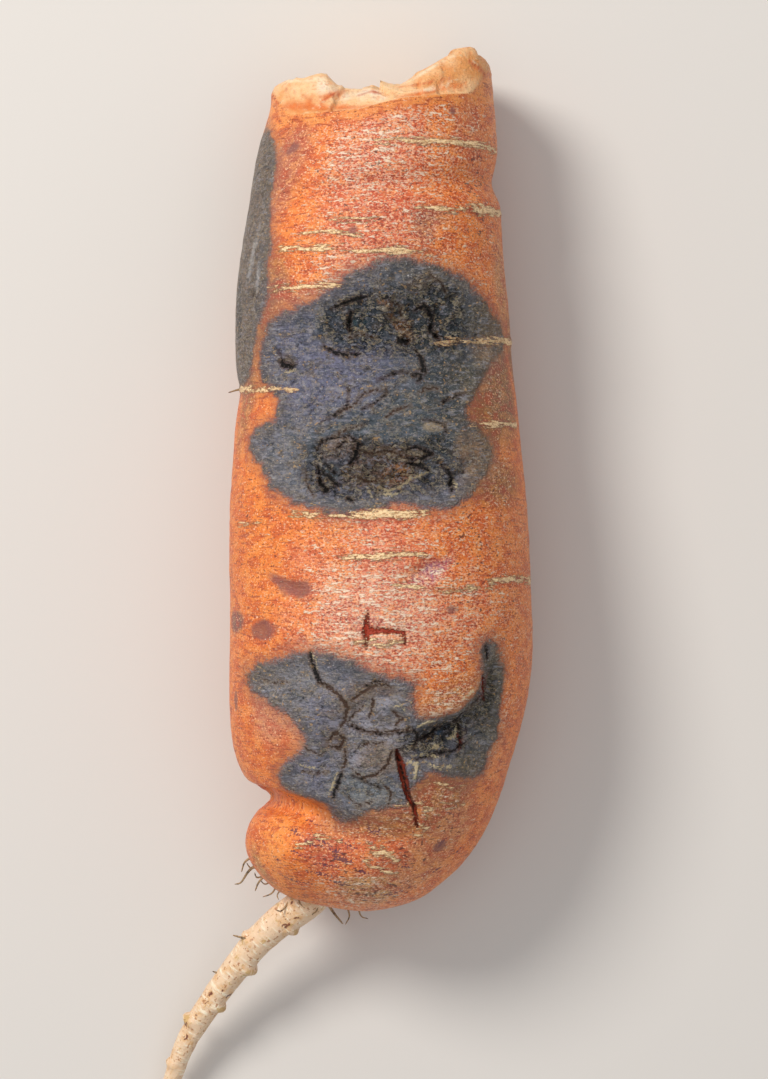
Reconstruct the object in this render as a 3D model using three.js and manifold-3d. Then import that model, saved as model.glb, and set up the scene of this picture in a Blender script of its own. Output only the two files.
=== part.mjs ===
// A broken-off carrot root lying on its side, with black rot on its skin, in millimetres.
// +Z is up, +Y runs along the root towards the broken crown end, and the thin tap root trails towards -Y.
// The shape is one solid, as the root grew: a wrapped sphere makes the body, its lobe and the broken
// face, a turned and bent tail makes the tap root, and thin wedges are cut away where the skin has split.
import * as THREE from "three";
import { mergeVertices } from "three/addons/utils/BufferGeometryUtils.js";
import Module from "manifold-3d";

// Driving dimensions of the body
const THICKNESS_PER_WIDTH = 0.93;
const TIP_HEIGHT = 17;
const UNDERSIDE_CURVE = 0.0006;
const UNDERSIDE_LOWEST_Y = -5;
const REST_FLAT_DEPTH = 0.9;
const GIRTH_RADIUS = 21;

// How finely the body is faceted: more columns face up, where the rot is, than down
const COLUMNS = 72;
const ROWS = 60;
const FACE_UP_CROWDING = 0.42;
const BROKEN_FACE_SHARE = 0.11;

// Left and right edges of the body seen from above, from the broken rim to the tip
const LEFT_EDGE = [
  [-16.2, 53.9], [-16.3, 51.8], [-18.3, 46.2], [-20.3, 37.8], [-21.4, 30.5], [-21.6, 23.1],
  [-21.3, 16.5], [-20.8, 13.1], [-21.5, 8.2], [-22.2, -4.8], [-22.5, -17.9], [-22.5, -29.8],
  [-21.9, -38.9], [-20.7, -43.2], [-18.9, -45.9], [-17.0, -47.6], [-18.2, -49.4], [-19.4, -51.2],
  [-20.0, -53.8], [-19.5, -56.4], [-17.6, -59.2], [-14.9, -61.5], [-11.9, -63.0], [-8.2, -63.8],
];
const RIGHT_EDGE = [
  [16.8, 59.0], [17.3, 53.6], [17.5, 47.7], [16.7, 44.2], [17.9, 40.9], [18.4, 33.5],
  [19.1, 24.3], [19.5, 17.9], [20.6, 10.4], [21.8, -1.5], [22.4, -11.9], [22.7, -23.8],
  [22.1, -30.5], [21.0, -35.8], [19.5, -41.7], [17.6, -48.3], [14.6, -54.5], [10.1, -59.6],
  [4.8, -63.0], [-1.2, -64.5], [-5.2, -64.2], [-8.2, -63.8],
];
const WIDEST_SHARE = 0.6;

// The broken face: torn flesh that stands out past the skin's rim, seen from above, and how its slope lies.
// Depth runs from -1 at the upper rim to 1 at the lower one.
const TORN_FLESH_EDGE = [
  [-16.6, 57.9], [-15.4, 59.3], [-13.4, 59.6], [-11.2, 59.1], [-8.8, 60.1], [-6.0, 58.6],
  [-1.2, 59.4], [1.8, 58.5], [6.9, 61.2], [11.0, 63.3], [15.0, 63.4], [17.0, 60.7],
];
const FACE_SLOPE_END_DEPTH = -0.42;
const FACE_RIDGE_HEIGHT = 0.6;
const FACE_CLEFT = { x: -7.2, halfWidth: 1.8, depth: 1.3 };
const RIM_BLEND_SHARE = 0.13;

// Rot patches, as outlines on the skin seen from above. A point past the body's edge lies round its side.
const ROT_PATCHES = {
  middle: {
    sunk: 1.1,
    outline: [
      [1.3, 31.7], [5.7, 31.4], [9.6, 30.2], [12.6, 29.0], [14.7, 26.5], [16.6, 23.7], [19.4, 23.0],
      [21.6, 21.9], [21.6, 16.6], [19.0, 15.6], [16.3, 13.1], [13.3, 11.1], [12.7, 8.8], [14.9, 6.9],
      [17.1, 4.7], [17.1, 3.2], [13.9, -1.2], [11.2, -3.5], [8.3, -4.3], [1.9, -3.8], [-5.8, -4.9],
      [-12.9, -3.0], [-15.7, -1.1], [-17.3, 2.2], [-18.9, 3.8], [-18.9, 6.1], [-15.8, 8.8],
      [-15.3, 10.9], [-17.3, 14.5], [-17.7, 16.6], [-17.3, 19.3], [-15.8, 22.6], [-8.9, 26.1],
      [-3.6, 29.7],
    ],
  },
  lower: {
    sunk: 0.9,
    outline: [
      [-19.7, -28.3], [-14.6, -26.6], [-10.6, -25.1], [-5.6, -26.2], [0.0, -28.6], [4.8, -30.3],
      [4.2, -32.2], [5.1, -34.1], [7.7, -34.9], [12.1, -32.8], [15.2, -28.0], [14.8, -25.4],
      [15.7, -23.6], [16.7, -24.0], [18.5, -29.1], [18.3, -33.4], [15.9, -40.3], [15.0, -42.7],
      [12.9, -43.8], [8.3, -42.4], [5.9, -43.3], [3.6, -47.3], [-1.8, -48.7], [-7.1, -49.1],
      [-12.9, -45.6], [-15.0, -44.2], [-12.2, -40.1], [-10.7, -38.5], [-13.3, -34.4], [-19.4, -29.9],
    ],
  },
  flank: {
    sunk: 0.2,
    outline: [
      [-16.2, 51.1], [-15.2, 48.2], [-15.4, 44.8], [-16.2, 37.4], [-15.9, 34.0], [-16.2, 27.8],
      [-19.8, 22.1], [-20.3, 15.4], [-23.1, 14.1], [-26.1, 20.1], [-27.1, 30.1], [-26.1, 40.2],
      [-22.6, 47.3], [-18.6, 51.8],
    ],
  },
};
const ROT_EDGE_WIDTH = 3.5;

// Hollows in the skin: centre, half sizes, turn in degrees and depth. The first four are rotted craters.
const HOLLOWS = [
  { at: [1.9, 22.8], half: [13.0, 4.6], turn: -2, depth: 1.5, rough: 1.1 },
  { at: [-0.3, 1.5], half: [11.6, 5.0], turn: 0, depth: 1.4, rough: 1.2 },
  { at: [8.8, -37.5], half: [6.0, 3.4], turn: 14, depth: 1.8, rough: 0.8 },
  { at: [16.5, -29.6], half: [2.4, 6.5], turn: -8, depth: 1.0, rough: 0.5 },
  { at: [6.5, -13.5], half: [5.2, 2.2], turn: 16, depth: 0.9, rough: 0 },
  { at: [-12.7, -15.9], half: [3.4, 1.7], turn: -12, depth: 0.6, rough: 0 },
  { at: [-17.2, -22.1], half: [2.1, 2.1], turn: 0, depth: 0.6, rough: 0 },
  { at: [-14.3, 16.8], half: [1.7, 1.5], turn: 0, depth: 1.1, rough: 0 },
  { at: [7.3, 36.9], half: [3.6, 2.4], turn: 0, depth: 0.5, rough: 0 },
];

// Low cross ridges where side roots grew: left end, right end and height
const ROOT_SCARS = [
  { from: [-0.7, 48.9], to: [17.5, 49.2], height: 0.25 },
  { from: [5.6, 39.3], to: [17.9, 38.7], height: 0.35 },
  { from: [-15.3, 33.5], to: [-4.7, 33.5], height: 0.3 },
  { from: [8.8, 19.4], to: [19.4, 21.0], height: 0.35 },
  { from: [11.9, 8.1], to: [20.0, 7.8], height: 0.35 },
  { from: [-13.3, -5.9], to: [7.5, -5.0], height: 0.5 },
  { from: [-7.2, -11.8], to: [7.3, -10.6], height: 0.5 },
  { from: [15.7, -15.1], to: [21.7, -14.6], height: 0.4 },
  { from: [-1.2, -54.2], to: [5.9, -56.3], height: 0.4 },
];
const SCAR_HALF_WIDTH = 1.3;

// The fold that parts the lobe from the body, from the notch in the left edge, and its depth at each point
const LOBE_FOLD = [
  [-19.1, -47.0, 1.6], [-14.4, -47.9, 1.5], [-9.8, -49.5, 1.1], [-5.4, -52.1, 0.6], [-2.0, -56.1, 0.2],
];
const LOBE_FOLD_HALF_WIDTH = 2.6;
const LOBE = { at: [-12.8, -54.8], half: [8.0, 6.5], height: 1.0 };

// Splits in the skin: a route with the half width of the split at each point, and its depth
const SPLITS = [
  { depth: 1.6, route: [[-2.8, -21.5, 0.25], [-1.1, -21.9, 0.8], [1.8, -22.1, 0.6], [3.9, -22.6, 0.2]] },
  { depth: 1.3, route: [[-1.6, -19.2, 0.15], [-1.7, -21.2, 0.45], [-2.1, -24.5, 0.15]] },
  { depth: 1.6, route: [[-10.1, -25.1, 0.15], [-9.8, -27.5, 0.5], [-8.7, -29.7, 0.5], [-7.4, -30.3, 0.2]] },
  { depth: 1.3, route: [[-6.4, -31.5, 0.2], [-5.2, -33.8, 0.4], [-5.2, -37.8, 0.4], [-5.0, -41.1, 0.2]] },
  { depth: 1.3, route: [[-4.2, -42.7, 0.15], [-5.5, -44.7, 0.5], [-7.0, -46.8, 0.15]] },
  { depth: 1.8, route: [[3.1, -39.9, 0.2], [3.5, -43.1, 0.8], [4.6, -47.2, 0.5], [5.5, -51.2, 0.15]] },
  { depth: 1.5, route: [[10.7, -33.2, 0.2], [11.7, -35.9, 0.7], [12.0, -39.1, 0.2]] },
  { depth: 1.4, route: [[16.0, -26.2, 0.2], [15.6, -29.5, 0.6], [13.3, -32.8, 0.2]] },
  { depth: 1.4, route: [[5.9, 18.7, 0.2], [6.9, 16.6, 0.6], [6.2, 13.7, 0.25]] },
  { depth: 1.2, route: [[9.5, 2.7, 0.15], [10.3, 0.4, 0.4], [10.8, -2.0, 0.15]] },
];
const SPLIT_SURFACE_CLEARANCE = 1.5;

// The tap root: its route from inside the lobe, and its diameter at even shares of that route
const TAIL_ROUTE = [
  [-6.0, -57.5, 16.5], [-10.9, -63.3, 14.2], [-15.6, -66.9, 12.4], [-19.4, -70.8, 10.8],
  [-24.7, -77.8, 8.0], [-29.2, -84.9, 5.6], [-32.3, -93.1, 3.6], [-33.9, -101.0, 2.5],
  [-34.3, -108.6, 2.0],
];
const TAIL_DIAMETERS = [6.2, 5.6, 5.0, 4.5, 4.1, 3.6, 3.1, 2.6, 2.1, 1.5];
const TAIL_SIDES = 12;
const TAIL_STEPS = 44;

// Knobs on the tail where rootlets broke off: share of its length, angle round it, height and half length
const TAIL_KNOBS = [
  { along: 0.2, angle: 250, height: 0.7, half: 1.2 },
  { along: 0.3, angle: 75, height: 0.45, half: 1.0 },
  { along: 0.36, angle: 262, height: 0.8, half: 1.3 },
  { along: 0.49, angle: 268, height: 0.7, half: 1.1 },
  { along: 0.56, angle: 85, height: 0.75, half: 1.0 },
  { along: 0.68, angle: 70, height: 0.4, half: 0.9 },
  { along: 0.8, angle: 255, height: 0.35, half: 0.9 },
];

// Rootlets left on the lobe and the tail: start, end and diameter at the start
const ROOTLETS = [
  { from: [-17.4, -57.0, 13.5], to: [-22.3, -60.9, 12.0], thick: 0.9 },
  { from: [-18.2, -70.2, 11.6], to: [-22.2, -68.6, 12.2], thick: 0.8 },
  { from: [-22.6, -76.0, 9.2], to: [-25.6, -74.4, 9.0], thick: 0.8 },
  { from: [-8.5, -62.5, 14.0], to: [-5.4, -67.0, 12.8], thick: 0.8 },
];
const ROOTLET_SIDES = 5;

// Where along Y the relief fades away, so that the tip stays round
const RELIEF_FADE = [-64.6, -61.5];

// Low lumps all over the body: height, and turns in radians per millimetre round it and along it
const LUMPS = [
  { height: 0.15, round: 0.16, along: 0.11 },
  { height: 0.1, round: -0.1, along: 0.23 },
];

const SKIN_ORANGE = 0xd9743f;

const { clamp, degToRad, inverseLerp, lerp, smoothstep } = THREE.MathUtils;
const toVector = ([x, y, z = 0]) => new THREE.Vector3(x, y, z);

function smoothCurve(points, closed = false) {
  return new THREE.CatmullRomCurve3(points.map(toVector), closed, "centripetal");
}

// The value of a list of [x, value] pairs at x, with straight runs between them
function valueAt(pairs, x) {
  const after = pairs.findIndex(([at]) => at >= x);
  if (after === 0) return pairs[0][1];
  if (after < 0) return pairs[pairs.length - 1][1];
  const [x0, v0] = pairs[after - 1];
  const [x1, v1] = pairs[after];
  return lerp(v0, v1, inverseLerp(x0, x1, x));
}

const leftCurve = smoothCurve(LEFT_EDGE);
const rightCurve = smoothCurve(RIGHT_EDGE);

// One ring of the body: its centre, its half width as a vector, its half thickness and its centre's height
function ringAt(share) {
  const left = leftCurve.getPointAt(share);
  const right = rightCurve.getPointAt(share);
  const centre = left.clone().add(right).multiplyScalar(0.5);
  const across = right.clone().sub(left).multiplyScalar(0.5);
  const halfThickness = across.length() * THICKNESS_PER_WIDTH;
  const underside = UNDERSIDE_CURVE * (centre.y - UNDERSIDE_LOWEST_Y) ** 2;
  return { centre, across, halfThickness, height: halfThickness + underside };
}

const rimRing = ringAt(0);
const widestRing = ringAt(WIDEST_SHARE);

// How far the broken face stands along +Y at a point of it, given as polar coordinates on the rim's ring
function brokenFaceY(radius, angle) {
  const x = rimRing.centre.x + rimRing.across.x * radius * Math.sin(angle);
  const rimShare = inverseLerp(LEFT_EDGE[0][0], RIGHT_EDGE[0][0], x);
  const skinLine = lerp(LEFT_EDGE[0][1], RIGHT_EDGE[0][1], rimShare);
  const fleshLine = valueAt(TORN_FLESH_EDGE, x);
  const depth = -radius * Math.cos(angle);
  const bulge = 0.4 * radius ** 8;
  const slope = smoothstep(depth, -1 + bulge, FACE_SLOPE_END_DEPTH + bulge);
  const ridges = Math.sin(0.9 * x + 3.1 * depth) * Math.sin(2.3 * depth + 0.5 * x);
  const cleft = 1 - smoothstep(Math.abs(x - FACE_CLEFT.x), 0, FACE_CLEFT.halfWidth);
  const inward = 1 - radius ** 6;
  return lerp(skinLine, fleshLine, slope) + inward * (FACE_RIDGE_HEIGHT * ridges - FACE_CLEFT.depth * cleft);
}

// A point of the undamaged body: share 0 to 1 runs from the rim to the tip, angle 0 faces up
function sidePoint(share, angle) {
  const ring = ringAt(share);
  const tipward = smoothstep(share, WIDEST_SHARE, 1);
  const height = share > WIDEST_SHARE ? lerp(widestRing.height, TIP_HEIGHT, tipward) : ring.height;
  const point = ring.centre.clone().addScaledVector(ring.across, Math.sin(angle));
  point.z = height + ring.halfThickness * Math.cos(angle);
  const nearRim = 1 - smoothstep(share, 0, RIM_BLEND_SHARE);
  point.y += nearRim * (brokenFaceY(1, angle) - ringLineY(rimRing, angle));
  return point;
}

function ringLineY(ring, angle) {
  return ring.centre.y + ring.across.y * Math.sin(angle);
}

function facePoint(radius, angle) {
  const x = rimRing.centre.x + rimRing.across.x * radius * Math.sin(angle);
  const z = rimRing.height + rimRing.halfThickness * radius * Math.cos(angle);
  return new THREE.Vector3(x, brokenFaceY(radius, angle), z);
}

// Half width and centre line of the body by height along Y, for unrolling the skin into a flat map
const EDGE_SAMPLES = 120;
const leftByY = leftCurve.getSpacedPoints(EDGE_SAMPLES).map((p) => [-p.y, p.x]);
const rightByY = rightCurve.getSpacedPoints(EDGE_SAMPLES).map((p) => [-p.y, p.x]);

// Where a point seen from above lies on the unrolled skin. Past the body's edge it runs on round the side.
function unrolled(x, y, facesUp = true) {
  const left = valueAt(leftByY, -y);
  const right = valueAt(rightByY, -y);
  const ratio = (x - (left + right) / 2) / Math.max((right - left) / 2, 1);
  const over = Math.max(Math.abs(ratio) - 1, 0);
  const angle = Math.asin(clamp(ratio, -1, 1)) + Math.sign(ratio) * 2 * over;
  const turned = facesUp ? angle : Math.sign(angle) * Math.PI - angle;
  return new THREE.Vector2(GIRTH_RADIUS * turned, y);
}

// Distance from a point to a stretch, and how far along the stretch the nearest point is
function toStretch(point, start, end) {
  const run = end.clone().sub(start);
  const share = clamp(point.clone().sub(start).dot(run) / run.lengthSq(), 0, 1);
  return { distance: point.distanceTo(start.clone().addScaledVector(run, share)), share };
}

const patchOutlines = Object.values(ROT_PATCHES).map(({ outline, sunk }) => ({
  sunk,
  points: smoothCurve(outline.map(([x, y]) => unrolled(x, y).toArray()), true)
    .getPoints(outline.length * 2)
    .slice(1)
    .map((p) => new THREE.Vector2(p.x, p.y)),
}));

// How deep inside an outline a point lies, below zero outside it
function depthInside(point, outline) {
  let nearest = Infinity;
  let inside = false;
  outline.forEach((end, i) => {
    const start = outline[(i || outline.length) - 1];
    nearest = Math.min(nearest, toStretch(point, start, end).distance);
    const crosses = start.y > point.y !== end.y > point.y;
    if (crosses && point.x < lerp(start.x, end.x, inverseLerp(start.y, end.y, point.y))) inside = !inside;
  });
  return inside ? nearest : -nearest;
}

// 1 at the middle of a turned ellipse on the skin, falling to 0 at its edge
function mound(point, { at, half, turn = 0 }) {
  const offset = point.clone().sub(unrolled(...at));
  offset.rotateAround(new THREE.Vector2(), -degToRad(turn));
  const reach = Math.hypot(offset.x / half[0], offset.y / half[1]);
  return 1 - smoothstep(reach, 0, 1);
}

// The crumbled floor of a crater: steep little waves that never quite repeat
function crumble(point) {
  const wave = Math.sin(1.3 * point.x + 0.8 * point.y) * Math.sin(1.9 * point.y - 0.6 * point.x);
  return wave + 0.5 * Math.sin(2.7 * point.x - 1.1 * point.y);
}

// How far the skin stands out at a point of the unrolled map: bulges, rot, craters, scars and the lobe
function relief(point) {
  let height = LOBE.height * mound(point, LOBE);
  for (const lump of LUMPS) height += lump.height * Math.sin(lump.round * point.x + lump.along * point.y);
  for (const { points, sunk } of patchOutlines)
    height -= sunk * smoothstep(depthInside(point, points), -0.5, ROT_EDGE_WIDTH);
  for (const hollow of HOLLOWS) {
    const share = mound(point, hollow);
    height -= share * hollow.depth - Math.sqrt(share) * hollow.rough * 0.5 * crumble(point);
  }
  for (const { from, to, height: scarHeight } of ROOT_SCARS) {
    const { distance, share } = toStretch(point, unrolled(...from), unrolled(...to));
    const taper = Math.sqrt(Math.max(0, 4 * share * (1 - share)));
    height += scarHeight * taper * (1 - smoothstep(distance, 0, SCAR_HALF_WIDTH));
  }
  return (height - foldDepth(point)) * smoothstep(point.y, ...RELIEF_FADE);
}

function foldDepth(point) {
  let depth = 0;
  LOBE_FOLD.slice(1).forEach(([x, y, endDepth], i) => {
    const [startX, startY, startDepth] = LOBE_FOLD[i];
    const { distance, share } = toStretch(point, unrolled(startX, startY), unrolled(x, y));
    const here = lerp(startDepth, endDepth, share) * (1 - smoothstep(distance, 0, LOBE_FOLD_HALF_WIDTH));
    depth = Math.max(depth, here);
  });
  return depth;
}

// The body as one closed surface: a sphere whose first rows become the broken face
function bodyGeometry() {
  const sphere = new THREE.SphereGeometry(1, COLUMNS, ROWS);
  sphere.deleteAttribute("normal");
  const places = sphere.getAttribute("position");
  const uv = sphere.getAttribute("uv");
  const onSkin = [];
  for (let i = 0; i < places.count; i += 1) {
    const row = Math.round((1 - uv.getY(i)) * ROWS) / ROWS;
    const turn = 2 * Math.PI * (Math.round(uv.getX(i) * COLUMNS) % COLUMNS) / COLUMNS - Math.PI;
    const angle = turn - FACE_UP_CROWDING * Math.sin(turn);
    const onFace = row < BROKEN_FACE_SHARE;
    const share = (row - BROKEN_FACE_SHARE) / (1 - BROKEN_FACE_SHARE);
    const point = onFace
      ? facePoint(row / BROKEN_FACE_SHARE, angle)
      : sidePoint(share, angle);
    places.setXYZ(i, point.x, point.y, point.z);
    onSkin.push(onFace ? 0 : smoothstep(share, 0, 0.02));
  }
  sphere.setAttribute("onSkin", new THREE.Float32BufferAttribute(onSkin, 1));
  sphere.deleteAttribute("uv");
  const body = mergeVertices(sphere, 1e-3);
  body.computeVertexNormals();
  pressRelief(body);
  return body;
}

// Moves each vertex along its normal by the relief there, then presses the resting flat into the underside
function pressRelief(body) {
  const places = body.getAttribute("position");
  const normals = body.getAttribute("normal");
  const onSkin = body.getAttribute("onSkin");
  const place = new THREE.Vector3();
  const normal = new THREE.Vector3();
  for (let i = 0; i < places.count; i += 1) {
    place.fromBufferAttribute(places, i);
    normal.fromBufferAttribute(normals, i);
    const facesUp = place.z > ringHeightNear(place.y);
    const out = onSkin.getX(i) * relief(unrolled(place.x, place.y, facesUp));
    place.addScaledVector(normal, out);
    places.setXYZ(i, place.x, place.y, Math.max(place.z - REST_FLAT_DEPTH, 0));
  }
  body.deleteAttribute("normal");
  body.deleteAttribute("onSkin");
}

// Height of the body's middle at a place along Y
const RING_SAMPLES = 60;
const middleByY = Array.from({ length: RING_SAMPLES + 1 }, (_, i) => {
  const share = i / RING_SAMPLES;
  return [-ringAt(share).centre.y, sidePoint(share, Math.PI / 2).z];
});
function ringHeightNear(y) {
  return valueAt(middleByY, -y);
}

// Height of the body's upper surface at a point seen from above
function surfaceHeight(x, y) {
  const left = valueAt(leftByY, -y);
  const right = valueAt(rightByY, -y);
  const halfWidth = (right - left) / 2;
  const ratio = clamp((x - (left + right) / 2) / halfWidth, -1, 1);
  return ringHeightNear(y) + halfWidth * THICKNESS_PER_WIDTH * Math.sqrt(1 - ratio * ratio);
}

// A wedge that opens upwards along a split's route: a square bar of unit size, bent and tapered
const BAR_STEPS = 10;
function splitGeometry({ route, depth }) {
  const bar = new THREE.BoxGeometry(1, 1, 1, 1, BAR_STEPS, 1);
  const curve = smoothCurve(route);
  const widths = route.map(([, , halfWidth], i) => [i / (route.length - 1), halfWidth]);
  return bentAlong(bar, curve, (share, across, up) => {
    const halfWidth = valueAt(widths, share);
    const { x, y } = curve.getPointAt(share);
    const top = surfaceHeight(x, y) - REST_FLAT_DEPTH;
    const opening = up > 0 ? 2 * halfWidth * (1 + SPLIT_SURFACE_CLEARANCE / depth) : halfWidth * 0.3;
    const height = up > 0 ? top + SPLIT_SURFACE_CLEARANCE : top - depth * (0.4 + Math.sqrt(halfWidth));
    return [Math.sign(across) * opening * 0.5, height];
  });
}

// Carries a unit-long geometry, standing along Y, onto a curve. place gives each vertex's offset and height.
function bentAlong(geometry, curve, place) {
  const solid = mergeVertices(bare(geometry), 1e-3);
  const places = solid.getAttribute("position");
  const up = new THREE.Vector3(0, 0, 1);
  for (let i = 0; i < places.count; i += 1) {
    const share = clamp(places.getY(i) + 0.5, 0, 1);
    const point = curve.getPointAt(share);
    const side = curve.getTangentAt(share).cross(up).setZ(0).normalize();
    const [offset, height] = place(share, places.getX(i), places.getZ(i));
    point.addScaledVector(side, offset);
    places.setXYZ(i, point.x, point.y, height);
  }
  return solid;
}

function bare(geometry) {
  geometry.deleteAttribute("normal");
  geometry.deleteAttribute("uv");
  return geometry;
}

// The tap root, turned as a straight taper with rounded ends and then bent along its route
function tailGeometry() {
  const curve = smoothCurve(TAIL_ROUTE);
  const profile = [new THREE.Vector2(0, 0)];
  const diameters = TAIL_DIAMETERS.map((d, i) => [i / (TAIL_DIAMETERS.length - 1), d]);
  for (let step = 0; step <= TAIL_STEPS; step += 1) {
    const share = step / TAIL_STEPS;
    const roundedEnd = Math.sqrt(clamp((1.012 - share) / 0.03, 0, 1));
    profile.push(new THREE.Vector2((valueAt(diameters, share) / 2) * roundedEnd, share));
  }
  profile.push(new THREE.Vector2(0, 1));
  const turned = mergeVertices(bare(new THREE.LatheGeometry(profile, TAIL_SIDES)), 1e-4);
  const places = turned.getAttribute("position");
  const length = curve.getLength();
  for (let i = 0; i < places.count; i += 1) {
    const share = places.getY(i);
    const radius = Math.hypot(places.getX(i), places.getZ(i));
    const angle = Math.atan2(places.getX(i), places.getZ(i));
    const wide = radius + (radius > 0.3 ? knobHeight(share * length, angle, length) : 0);
    const tangent = curve.getTangentAt(share);
    const side = tangent.clone().cross(new THREE.Vector3(0, 0, 1)).normalize();
    const up = side.clone().cross(tangent);
    const point = curve
      .getPointAt(share)
      .addScaledVector(side, wide * Math.sin(angle))
      .addScaledVector(up, wide * Math.cos(angle));
    places.setXYZ(i, point.x, point.y, point.z);
  }
  return turned;
}

function knobHeight(along, angle, length) {
  const ripple = 0.06 * Math.sin(2.1 * along) + 0.05 * Math.sin(3.7 * along + 2 * angle);
  return TAIL_KNOBS.reduce((height, knob) => {
    const turn = Math.cos(angle - degToRad(knob.angle));
    const near = 1 - smoothstep(Math.abs(along - knob.along * length), 0, knob.half);
    return height + knob.height * near * smoothstep(turn, -0.1, 1);
  }, ripple);
}

// A rootlet, a thin cone from its sunk root to its tip
function rootletGeometry({ from, to, thick }) {
  const start = toVector(from);
  const run = toVector(to).sub(start);
  const cone = bare(new THREE.CylinderGeometry(thick / 4, thick / 2, run.length(), ROOTLET_SIDES));
  cone.translate(0, run.length() / 2, 0);
  const upright = new THREE.Vector3(0, 1, 0);
  cone.applyQuaternion(new THREE.Quaternion().setFromUnitVectors(upright, run.normalize()));
  return cone.translate(start.x, start.y, start.z);
}

const wasm = await Module();
wasm.setup();

function solidFrom(geometry) {
  const merged = mergeVertices(geometry, 1e-4);
  const mesh = new wasm.Mesh({
    numProp: 3,
    vertProperties: merged.getAttribute("position").array,
    triVerts: new Uint32Array(merged.index.array),
  });
  const solid = new wasm.Manifold(mesh);
  if (solid.volume() > 0) return solid;
  mesh.triVerts = mesh.triVerts.map((_, i, all) => all[i - (i % 3) + 2 - (i % 3)]);
  return new wasm.Manifold(mesh);
}

function geometryFrom(solid) {
  const { vertProperties, triVerts } = solid.getMesh();
  return new THREE.BufferGeometry()
    .setAttribute("position", new THREE.BufferAttribute(vertProperties, 3))
    .setIndex(new THREE.BufferAttribute(triVerts, 1));
}

function rootGeometry() {
  let root = solidFrom(bodyGeometry()).add(solidFrom(tailGeometry()));
  for (const rootlet of ROOTLETS) root = root.add(solidFrom(rootletGeometry(rootlet)));
  for (const split of SPLITS) root = root.subtract(solidFrom(splitGeometry(split)));
  return geometryFrom(root);
}

// The origin is on the resting surface, under the middle of the whole root
function centredOnBase(geometry) {
  geometry.computeBoundingBox();
  const middle = geometry.boundingBox.getCenter(new THREE.Vector3());
  return geometry.translate(-middle.x, -middle.y, -geometry.boundingBox.min.z);
}

const carrot = new THREE.Mesh(
  centredOnBase(rootGeometry()),
  new THREE.MeshStandardMaterial({ color: SKIN_ORANGE, roughness: 0.55, metalness: 0 }),
);
carrot.name = "carrot";

const object = new THREE.Group();
object.add(carrot);
export default object;
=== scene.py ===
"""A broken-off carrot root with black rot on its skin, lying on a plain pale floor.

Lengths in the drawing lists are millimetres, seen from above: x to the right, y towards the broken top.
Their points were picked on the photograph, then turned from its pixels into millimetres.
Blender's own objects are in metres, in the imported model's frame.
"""
import itertools
import math
from collections import namedtuple

import bmesh
import bpy
import numpy as np
from bpy.props import FloatProperty, FloatVectorProperty, IntProperty, PointerProperty
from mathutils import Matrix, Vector


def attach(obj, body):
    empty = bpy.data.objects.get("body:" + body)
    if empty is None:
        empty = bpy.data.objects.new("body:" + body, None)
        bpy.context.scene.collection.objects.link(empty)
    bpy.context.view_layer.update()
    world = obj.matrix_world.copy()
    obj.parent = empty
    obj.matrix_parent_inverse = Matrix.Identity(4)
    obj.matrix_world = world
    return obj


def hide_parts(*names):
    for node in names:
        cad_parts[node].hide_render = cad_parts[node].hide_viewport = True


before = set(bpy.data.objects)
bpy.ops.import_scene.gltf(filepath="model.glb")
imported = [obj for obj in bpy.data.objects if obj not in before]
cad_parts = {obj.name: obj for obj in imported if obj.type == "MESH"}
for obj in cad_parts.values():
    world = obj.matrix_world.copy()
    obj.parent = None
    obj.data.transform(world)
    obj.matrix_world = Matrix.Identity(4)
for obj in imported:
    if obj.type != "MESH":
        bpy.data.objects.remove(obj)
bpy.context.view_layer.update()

bl_info = {
    "name": "Rotten carrot root",
    "version": (1, 0, 0),
    "blender": (4, 5, 0),
    "location": "3D View > Sidebar > Carrot",
    "description": "Builds a broken-off carrot root with black rot, its tap root, hair roots and a studio",
    "category": "Add Mesh",
}

BODY = "root"
NODE = "carrot"
MM = 0.001

# Where the drawing's zero lies in the model's frame, in millimetres
DRAWING_ZERO = np.array([6.189, 22.490, 0.0])

# Left and right edges of the body seen from above, from the broken rim to the tip
LEFT_EDGE = [
    (-16.2, 53.9), (-16.3, 51.8), (-18.3, 46.2), (-20.3, 37.8), (-21.4, 30.5), (-21.6, 23.1),
    (-21.3, 16.5), (-20.8, 13.1), (-21.5, 8.2), (-22.2, -4.8), (-22.5, -17.9), (-22.5, -29.8),
    (-21.9, -38.9), (-20.7, -43.2), (-18.9, -45.9), (-17.0, -47.6), (-18.2, -49.4), (-19.4, -51.2),
    (-20.0, -53.8), (-19.5, -56.4), (-17.6, -59.2), (-14.9, -61.5), (-11.9, -63.0), (-8.2, -63.8),
]
RIGHT_EDGE = [
    (16.8, 59.0), (17.3, 53.6), (17.5, 47.7), (16.7, 44.2), (17.9, 40.9), (18.4, 33.5),
    (19.1, 24.3), (19.5, 17.9), (20.6, 10.4), (21.8, -1.5), (22.4, -11.9), (22.7, -23.8),
    (22.1, -30.5), (21.0, -35.8), (19.5, -41.7), (17.6, -48.3), (14.6, -54.5), (10.1, -59.6),
    (4.8, -63.0), (-1.2, -64.5), (-5.2, -64.2), (-8.2, -63.8),
]

# The widest part as a share of the body's length, and the height of the blunt tip's middle
WIDEST_SHARE = 0.6
TIP_HEIGHT = 17.0

# The underside curves up by this many millimetres for each square millimetre from its lowest place, and the
# flat spot that the root rests on is pressed in this deep
UNDERSIDE_CURVE = 0.0006
UNDERSIDE_LOWEST_Y = -5.0
REST_FLAT_DEPTH = 0.9

# The unrolled skin: the girth's radius, the place past which the tip is unrolled straight on, and how many
# levels along the root its upper side is told from its lower side by
GIRTH_RADIUS = 21.0
BLUNT_TIP_Y = -61.0
SKIN_LEVELS = 80

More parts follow.
